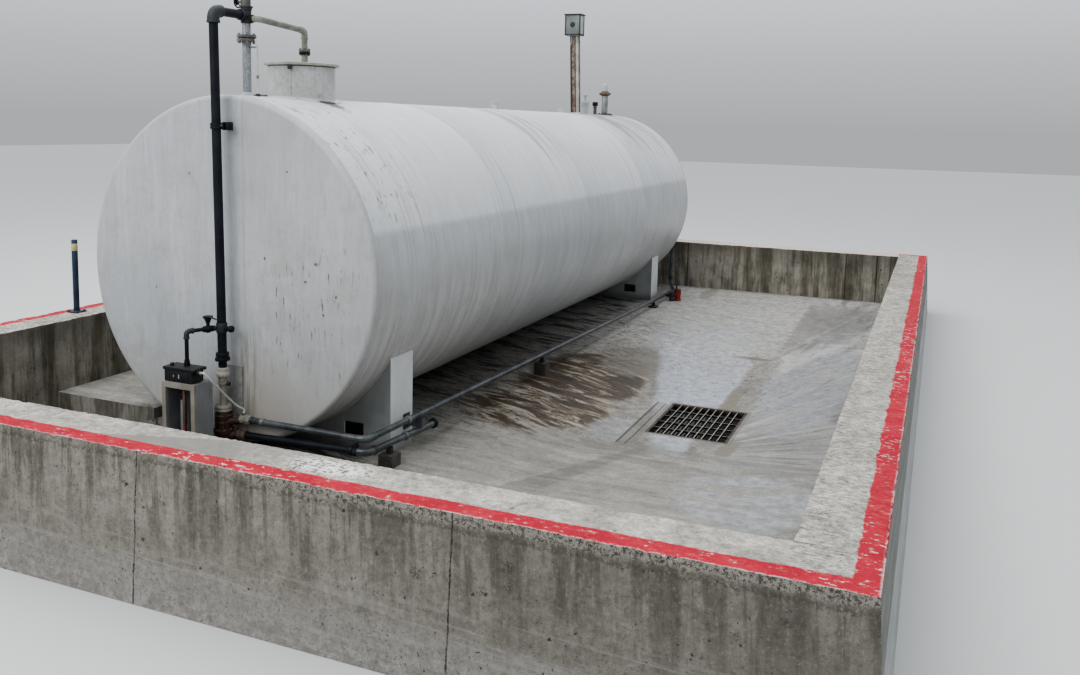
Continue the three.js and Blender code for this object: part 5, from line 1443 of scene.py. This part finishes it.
def cabinet():
    case = Piece("switch_box_case")
    back = -3872
    case.box((CAB_X0 + 8, CAB_Y0 + 12, CAB_TOP + 4.5), (CAB_X1 - 28, back, CAB_TOP + 88), "plastic", 5)
    case.box((CAB_X0, CAB_Y0 + 6, CAB_TOP + 84), (CAB_X1 - 4, back + 4, CAB_TOP + 104), "plastic", 4)
    case.box((CAB_X0 + 28, CAB_Y0 + 9, CAB_TOP + 14), (CAB_X1 - 50, CAB_Y0 + 14, CAB_TOP + 76), "plastic",
             1.5)
    case.upright(CAB_X0 + 40, CAB_Y0 + 50, CAB_TOP + 102, CAB_TOP + 122, 13, "plastic")
    gland = Vector((CAB_X1 - 32, CAB_Y0 + 52, CAB_TOP + 76))
    case.rods(lambda distance: gland + RIGHT * distance, (0, 26, 23, "plastic", 8, 3),
              (24, 44, 19, "plastic"), (42, 54, 13, "galvanised"))
    case.box((-1088, CAB_Y0 + 7, CAB_TOP + 32), (-1080, CAB_Y0 + 10, CAB_TOP + 60), "panel", 0.6)
    case.box((-1132, CAB_Y0 + 7, CAB_TOP + 38), (-1126, CAB_Y0 + 10, CAB_TOP + 54), "panel", 0.6)
    case.done("black_plastic", "switch_box")

    inside = Piece("cabinet_fittings")
    inside.box((-1058, -3990, 172), (-1044, -3970, 430), "red_strip", 2)
    inside.box((-1060, -3988, 428), (-1042, -3968, 660), "rusty", 2)
    inside.box((-1112, -3846, 176), (-1074, -3829, 640), "panel", 2)
    inside.upright(-1140, -3900, 172, 560, 17, "cabinet")
    inside.done("cabinet_paint")

    cable_end = Vector((-838, RUN_Y, MAIN_FRONT_Z + 42.3))
    gland_x = CAB_X1 + 22.3
    gland_y = CAB_Y0 + 52
    gland_z = CAB_TOP + 76
    keys = [Vector(k) for k in ((gland_x, gland_y, gland_z), (gland_x + 26, gland_y, gland_z),
                                (gland_x + 54, gland_y + 64, gland_z - 84),
                                (cable_end.x - 22, RUN_Y - 64, cable_end.z + 78),
                                (cable_end.x, RUN_Y, cable_end.z + 26), tuple(cable_end))]
    path = []
    padded = [keys[0] * 2 - keys[1]] + keys + [keys[-1] * 2 - keys[-2]]
    for a, b, c, d in zip(padded, padded[1:], padded[2:], padded[3:]):
        for i in range(8):
            t = i / 8
            path.append(0.5 * (2 * b + (c - a) * t + (2 * a - 5 * b + 4 * c - d) * t * t +
                               (3 * b - a - 3 * c + d) * t ** 3))
    path.append(cable_end)
    cable = Piece("cable_sheath_line")
    cable.tube(path, 7.2, "cable", 14)
    cable.done("cable_grey", "cable_conduit")


# Floor pipes, red valve and rear pipe

def main_z(y):
    return MAIN_FRONT_Z + (MAIN_REAR_Z - MAIN_FRONT_Z) * ((y - RUN_Y) / (MAIN_END_Y - RUN_Y))


def lower_z(y):
    return LOWER_CORNER_Z + (LOWER_END_Z - LOWER_CORNER_Z) * ((y - RUN_Y) / (LOWER_END_Y - RUN_Y))


def on_main(y):
    return Vector((SIDE_X, y, main_z(y)))


def on_lower(y):
    return Vector((SIDE_X + 5, y, lower_z(y)))


def floor_pipes():
    start = Vector((RISER_X + 150.3, RUN_Y, MAIN_FRONT_Z))
    main = Piece("main_line")
    path = main.route([start, on_main(RUN_Y), on_main(MAIN_END_Y)], 62)
    main.tube(path, MAIN_RADIUS, "grey", 32)
    corner = on_main(RUN_Y)
    main.tube(main.route([corner - RIGHT * 70, corner, on_main(RUN_Y + 70)], 58), MAIN_RADIUS + 3, "grey",
              32)
    main.rods(lambda distance: start + RIGHT * distance, (0, 46, 31, "cream", 8, 4), (44, 58, 26, "grey"),
              (130, 158, 27, "coupling"))
    main.rods(on_main, (RUN_Y + 64, RUN_Y + 92, 26, "grey"), (-3150, -3120, 29, "coupling"),
              (MAIN_END_Y - 40, MAIN_END_Y, 31, "grey", 8, 3))
    main.done("grey_pipe", "main_pipe")

    low = Vector((RISER_X + 112.3, RUN_Y, LOWER_START_Z))
    level = low + RIGHT * 44
    corner = on_lower(RUN_Y)
    before = Vector((corner.x, RUN_Y, LOWER_CORNER_Z))
    lower = Piece("lower_line")
    lower.tube(lower.route([level - RIGHT * 1, before - RIGHT * 140, before - RIGHT * 70], 50),
               LOWER_RADIUS, "black", 32)
    lower.tube(lower.route([before - RIGHT * 75, corner, on_lower(LOWER_END_Y)], 62), LOWER_RADIUS, "grey",
               32)
    lower.tube(lower.route([corner - RIGHT * 72, corner, on_lower(RUN_Y + 72)], 60), LOWER_RADIUS + 4,
               "grey", 32)
    lower.upright(before.x - 84, RUN_Y, before.z + 20, before.z + 50, 17, "black")
    lower.rod(low, level, 34, "rusty", sides=8, edge=4)
    lower.rods(lambda distance: before - RIGHT * distance, (134, 104, 34, "black", 36),
               (102, 70, 34, "black", 8, 4))
    lower.rods(on_lower, (RUN_Y + 60, RUN_Y + 96, 30, "elbow"), (-3190, -3166, 30, "coupling"),
               (LOWER_END_Y - 14, LOWER_END_Y + 12, 36, "black", 36))
    lower.turned(on_lower(LOWER_END_Y + 11), REAR, [(25, 0), (25, 3), (6, 4)], "elbow", 28)
    lower.done("black_pipe", "lower_pipe")


def rear_piping():
    x = 300
    y = 3690
    near_x = x - 62
    near_y = y - 70
    stub = main_z(y) + 6
    valve = Piece("drain_valve")
    valve.lathe(x, y, 141, [(44, 0), (47, 4), (47, 20), (40, 26), (40, 60), (45, 84), (47, 110), (44, 130),
                            (46, 136), (46, 150), (40, 157)], "red_black", 36)
    valve.bolt_ring((x, y, 290), UP, 36, 6, 11, 6, "rusty")
    valve.lathe(near_x, near_y, 141, [(30, 0), (33, 4), (33, 30), (28, 40), (32, 60), (33, 100), (28, 118),
                                      (12, 121)], "plastic", 28)
    valve.rod((near_x, near_y, stub), (x, y, stub), 29, "plastic")
    joint = Vector((SIDE_X + MAIN_RADIUS + 0.5, near_y, main_z(near_y)))
    valve.rod(joint, (near_x, near_y, stub), 21, "plastic")
    valve.upright(x - 16, y, 292, 354, 10, "plastic")
    valve.wheel((x - 16, y, 357), UP, 49, 5.5, "plastic", 5)
    valve.done("red_paint", "red_valve")

    z = main_z(MAIN_END_Y + 232)
    turn_x = -75
    turn_y = 4720
    inlet = 1000
    line = Piece("rear_line")
    corners = [on_main(MAIN_END_Y + 0.3), on_main(MAIN_END_Y + 232), (turn_x, turn_y, z),
               (turn_x, turn_y, inlet), (turn_x, TANK_REAR + 2, inlet)]
    line.pipe(corners, 22, 60, "grey", 28)
    line.rod(on_main(MAIN_END_Y + 0.3), on_main(MAIN_END_Y + 30), 31, "grey", sides=8, edge=3)
    line.rod((turn_x, TANK_REAR + 0.5, inlet), (turn_x, TANK_REAR + 14, inlet), 74, "grey", sides=40)
    line.bolt_ring((turn_x, TANK_REAR + 14, inlet), REAR, 58, 8, 16, 9, "rusty")
    line.upright(turn_x, turn_y, z + 58, z + 110, 30, "elbow", sides=8, edge=3)
    line.done("grey_pipe", "rear_pipe")


# Post, mast and the fittings along the tank's top

def marker_post():
    x = -3200
    y = -2910
    post = Piece("marker_post_round")
    post.box((x - 55, y - 55, WALL_TOP + 0.3), (x + 55, y + 55, WALL_TOP + 9), "post", 1.5)
    post.upright(x, y, WALL_TOP + 8, WALL_TOP + 612, 24, "post", sides=32)
    post.lathe(x, y, WALL_TOP + 520, [(24.3, 0), (24.8, 1), (24.8, 60), (24.3, 61)], "band", 32)
    post.corner_bolts(x, y, WALL_TOP + 9, 40, 14, 8, "rusty")
    post.done("post_paint", "marker_post")


def mast():
    foot = TANK_X + 5
    head = TANK_X - 30
    post = Piece("mast_channel")
    rings = []
    outline = [(-57, -32), (57, -32), (57, 32), (51, 32), (51, -26), (-51, -26), (-51, 32), (-57, 32)]
    for t in (0.0, 0.33, 0.66, 1.0):
        middle = foot + (head - foot) * t
        z = TANK_TOP - 2 + (POST_TOP - TANK_TOP + 2) * t
        rings.append([Vector((middle + dx, POST_Y + dy, z)) for dx, dy in outline])
    post.loft(rings, "mast")
    for left, right, paint in ((-57, -40, "elbow"), (4, 20, "mast_rust"), (22, 56.5, "mast_pale")):
        corners = ((left, 31), (left, 33.6), (right, 33.6), (right, 31))
        strip = []
        for middle, z in ((foot, TANK_TOP + 14), (head, POST_TOP - 2)):
            strip.append([Vector((middle + dx, POST_Y - dy, z)) for dx, dy in corners])
        post.loft(strip, paint)
    post.box((foot - 90, POST_Y - 80, TANK_TOP - 6), (foot + 90, POST_Y + 80, TANK_TOP + 11), "tank_shell",
             3)
    post.tube([(foot - 38, POST_Y - 40, TANK_TOP + 10), (head - 40, POST_Y - 40, POST_TOP - 130)], 6,
              "elbow", 12)
    post.tube([(head - 40, POST_Y - 40, POST_TOP - 132), (head - 34, POST_Y - 44, POST_TOP - 60),
               (head - 28, POST_Y - 42, POST_TOP - 2)], 4.5, "panel", 10)
    post.done("rusty_steel", "mast_post")

    box = Piece("gauge_box")
    x0, x1 = head - 116, head + 96
    y0, y1 = POST_Y - 80, POST_Y + 80
    z0, z1 = POST_TOP + 0.3, POST_TOP + 268
    box.box((x0 + 6, y0 + 6, z0 + 4), (x1 - 6, y1 - 6, z1 - 6), "panel", 3)
    box.box((x0 + 16, y0 + 4, z0 + 15), (x1 - 16, y0 + 8, z1 - 16), "gauge_face", 1.5)
    bar = 17
    across = ((x0, x0 + bar), (x1 - bar, x1))
    deep = ((y0, y0 + bar), (y1 - bar, y1))
    for x_low, x_high in across:
        for y_low, y_high in deep:
            box.box((x_low, y_low, z0), (x_high, y_high, z1), "frame", 2)
    for z_low, z_high in ((z0, z0 + bar), (z1 - bar, z1)):
        for y_low, y_high in deep:
            box.box((x0, y_low, z_low), (x1, y_high, z_high), "frame", 2)
        for x_low, x_high in across:
            box.box((x_low, y0, z_low), (x_high, y1, z_high), "frame", 2)
    box.box((x0 - 10, y0 - 10, z1 - 10), (x1 + 10, y1 + 10, z1 + 3), "frame", 2)
    middle = Vector(((x0 + x1) / 2, y0 + 6, (z0 + z1) / 2))
    box.turned(middle, -REAR, [(34, 0), (34, 3), (30, 5), (24, 6), (22, 10), (8, 12)], "elbow", 32)
    box.done("galvanised", "mast_box")


def top_nozzles():
    y = 3476
    capped = Piece("capped_nozzle_round")
    capped.lathe(TANK_X, y, TANK_TOP - 6, [(56, 0), (54, 6), (50, 12), (50, 118), (60, 124), (60, 134),
                                           (56, 138), (60, 142), (60, 168), (54, 174), (18, 178),
                                           (18, 236), (30, 244), (30, 258), (20, 268)], "tank_end", 36)
    capped.done("tank_paint", "capped_nozzle")
    vent_y = 3885
    vent = Piece("vent_valve_round")
    vent.lathe(TANK_X, vent_y, TANK_TOP - 6, [(30, 0), (28, 8), (22, 12), (22, 92), (28, 96), (28, 108),
                                              (22, 112), (22, 122), (36, 130), (38, 146), (34, 174),
                                              (24, 176)], "brass", 32)
    vent.lathe(TANK_X, vent_y, TANK_TOP + 118, [(37, 0), (38.5, 6), (38.5, 30), (35, 51), (22, 52)],
               "black", 32)
    vent.done("grey_pipe", "vent_valve")
    x = TANK_X + 34
    stand_y = 4190
    stand = Piece("rear_standpipe_round")
    stand.upright(x, stand_y, TANK_TOP - 34, TANK_TOP + 270, 44, "galvanised", sides=36)
    stand.box((x - 92, stand_y - 92, TANK_TOP - 8), (x + 92, stand_y + 92, TANK_TOP + 13), "rusty", 3)
    stand.lathe(x, stand_y, TANK_TOP + 264, [(46, 0), (82, 20), (84, 26), (84, 34), (70, 44), (40, 66)],
                "rusty", 36)
    stand.lathe(x, stand_y, TANK_TOP + 328, [(36, 0), (36, 60), (32, 84), (24, 102), (10, 112)],
                "tank_end", 32)
    stand.bolt_ring((x, stand_y, TANK_TOP + 13), UP, 78, 4, 18, 10, "rusty", 0.785)
    stand.done("galvanised", "rear_standpipe")


for build in (bund, grate, tank, manway, riser, top_fittings, crossover, branch, pump, cabinet,
              floor_pipes, rear_piping, marker_post, mast, top_nozzles):
    build()


# Finish of the parts that keep their solid

KEPT = {
    "floor_concrete": ("floor_tank_slab", "floor_front_corner", "side_plinth", "sump_trough",
                       "floor_fall_left", "floor_fall_right", "floor_fall_front", "floor_fall_rear"),
    "saddle": ("front_saddle", "rear_saddle"),
    "tank_shell": ("front_wear_plate", "rear_wear_plate"),
    "lug": ("front_lifting_lug", "rear_lifting_lug"),
    "plate": ("wall_plate",),
    "cabinet": ("cabinet_body",),
    "cabinet_trim": ("cabinet_frame",),
    "grey": ("pipe_bracket",),
    "support": ("pipe_support_front", "pipe_support_middle", "pipe_support_rear"),
}
for finish, nodes in KEPT.items():
    for node in nodes:
        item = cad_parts[node]
        if not item.data.materials:
            item.data.materials.append(MATERIALS[finish])
        for slot in item.material_slots:
            slot.material = MATERIALS[finish]


# Pale floor, soft light

def studio():
    bm = bmesh.new()
    reach = 60.0
    corners = ((-reach, -reach), (reach, -reach), (reach, reach), (-reach, reach))
    bm.faces.new([bm.verts.new((x, y, -0.002)) for x, y in corners])
    data = bpy.data.meshes.new("studio_floor")
    bm.to_mesh(data)
    bm.free()
    floor = bpy.data.objects.new("studio_floor", data)
    bpy.context.scene.collection.objects.link(floor)
    n = Nodes("studio_floor")
    data.materials.append(n.finish((0.62, 0.62, 0.61), 0.9, specular=0.2))

    world = bpy.data.worlds.new("studio_world")
    bpy.context.scene.world = world
    world.use_nodes = True
    tree = world.node_tree
    sky = tree.nodes["Background"]
    direction = tree.nodes.new("ShaderNodeTexCoord").outputs["Generated"]
    split = tree.nodes.new("ShaderNodeSeparateXYZ")
    tree.links.new(direction, split.inputs[0])
    shades = tree.nodes.new("ShaderNodeValToRGB")
    tree.links.new(split.outputs[2], shades.inputs[0])
    steps = ((0.0, (0.42, 0.43, 0.44, 1.0)), (0.07, (0.55, 0.57, 0.60, 1.0)),
             (0.16, (0.80, 0.84, 0.90, 1.0)), (1.0, (0.92, 0.96, 1.0, 1.0)))
    while len(shades.color_ramp.elements) < len(steps):
        shades.color_ramp.elements.new(0.5)
    for element, (place, color) in zip(shades.color_ramp.elements, steps):
        element.position = place
        element.color = color
    tree.links.new(shades.outputs[0], sky.inputs["Color"])
    sky.inputs["Strength"].default_value = 1.0

    bpy.context.scene.view_settings.look = "AgX - Medium High Contrast"
    for name, place, target, size, power in (
            ("key_light", (-3.0, -14.0, 11.0), (-0.5, -1.0, 0.8), 9.0, 1100.0),
            ("top_light", (-3.0, 1.0, 13.0), (-0.8, 0.5, 0.5), 12.0, 900.0)):
        lamp = bpy.data.lights.new(name, "AREA")
        lamp.size = size
        lamp.energy = power
        item = bpy.data.objects.new(name, lamp)
        bpy.context.scene.collection.objects.link(item)
        item.location = place
        item.rotation_euler = (Vector(target) - Vector(place)).to_track_quat("-Z", "Y").to_euler()


studio()
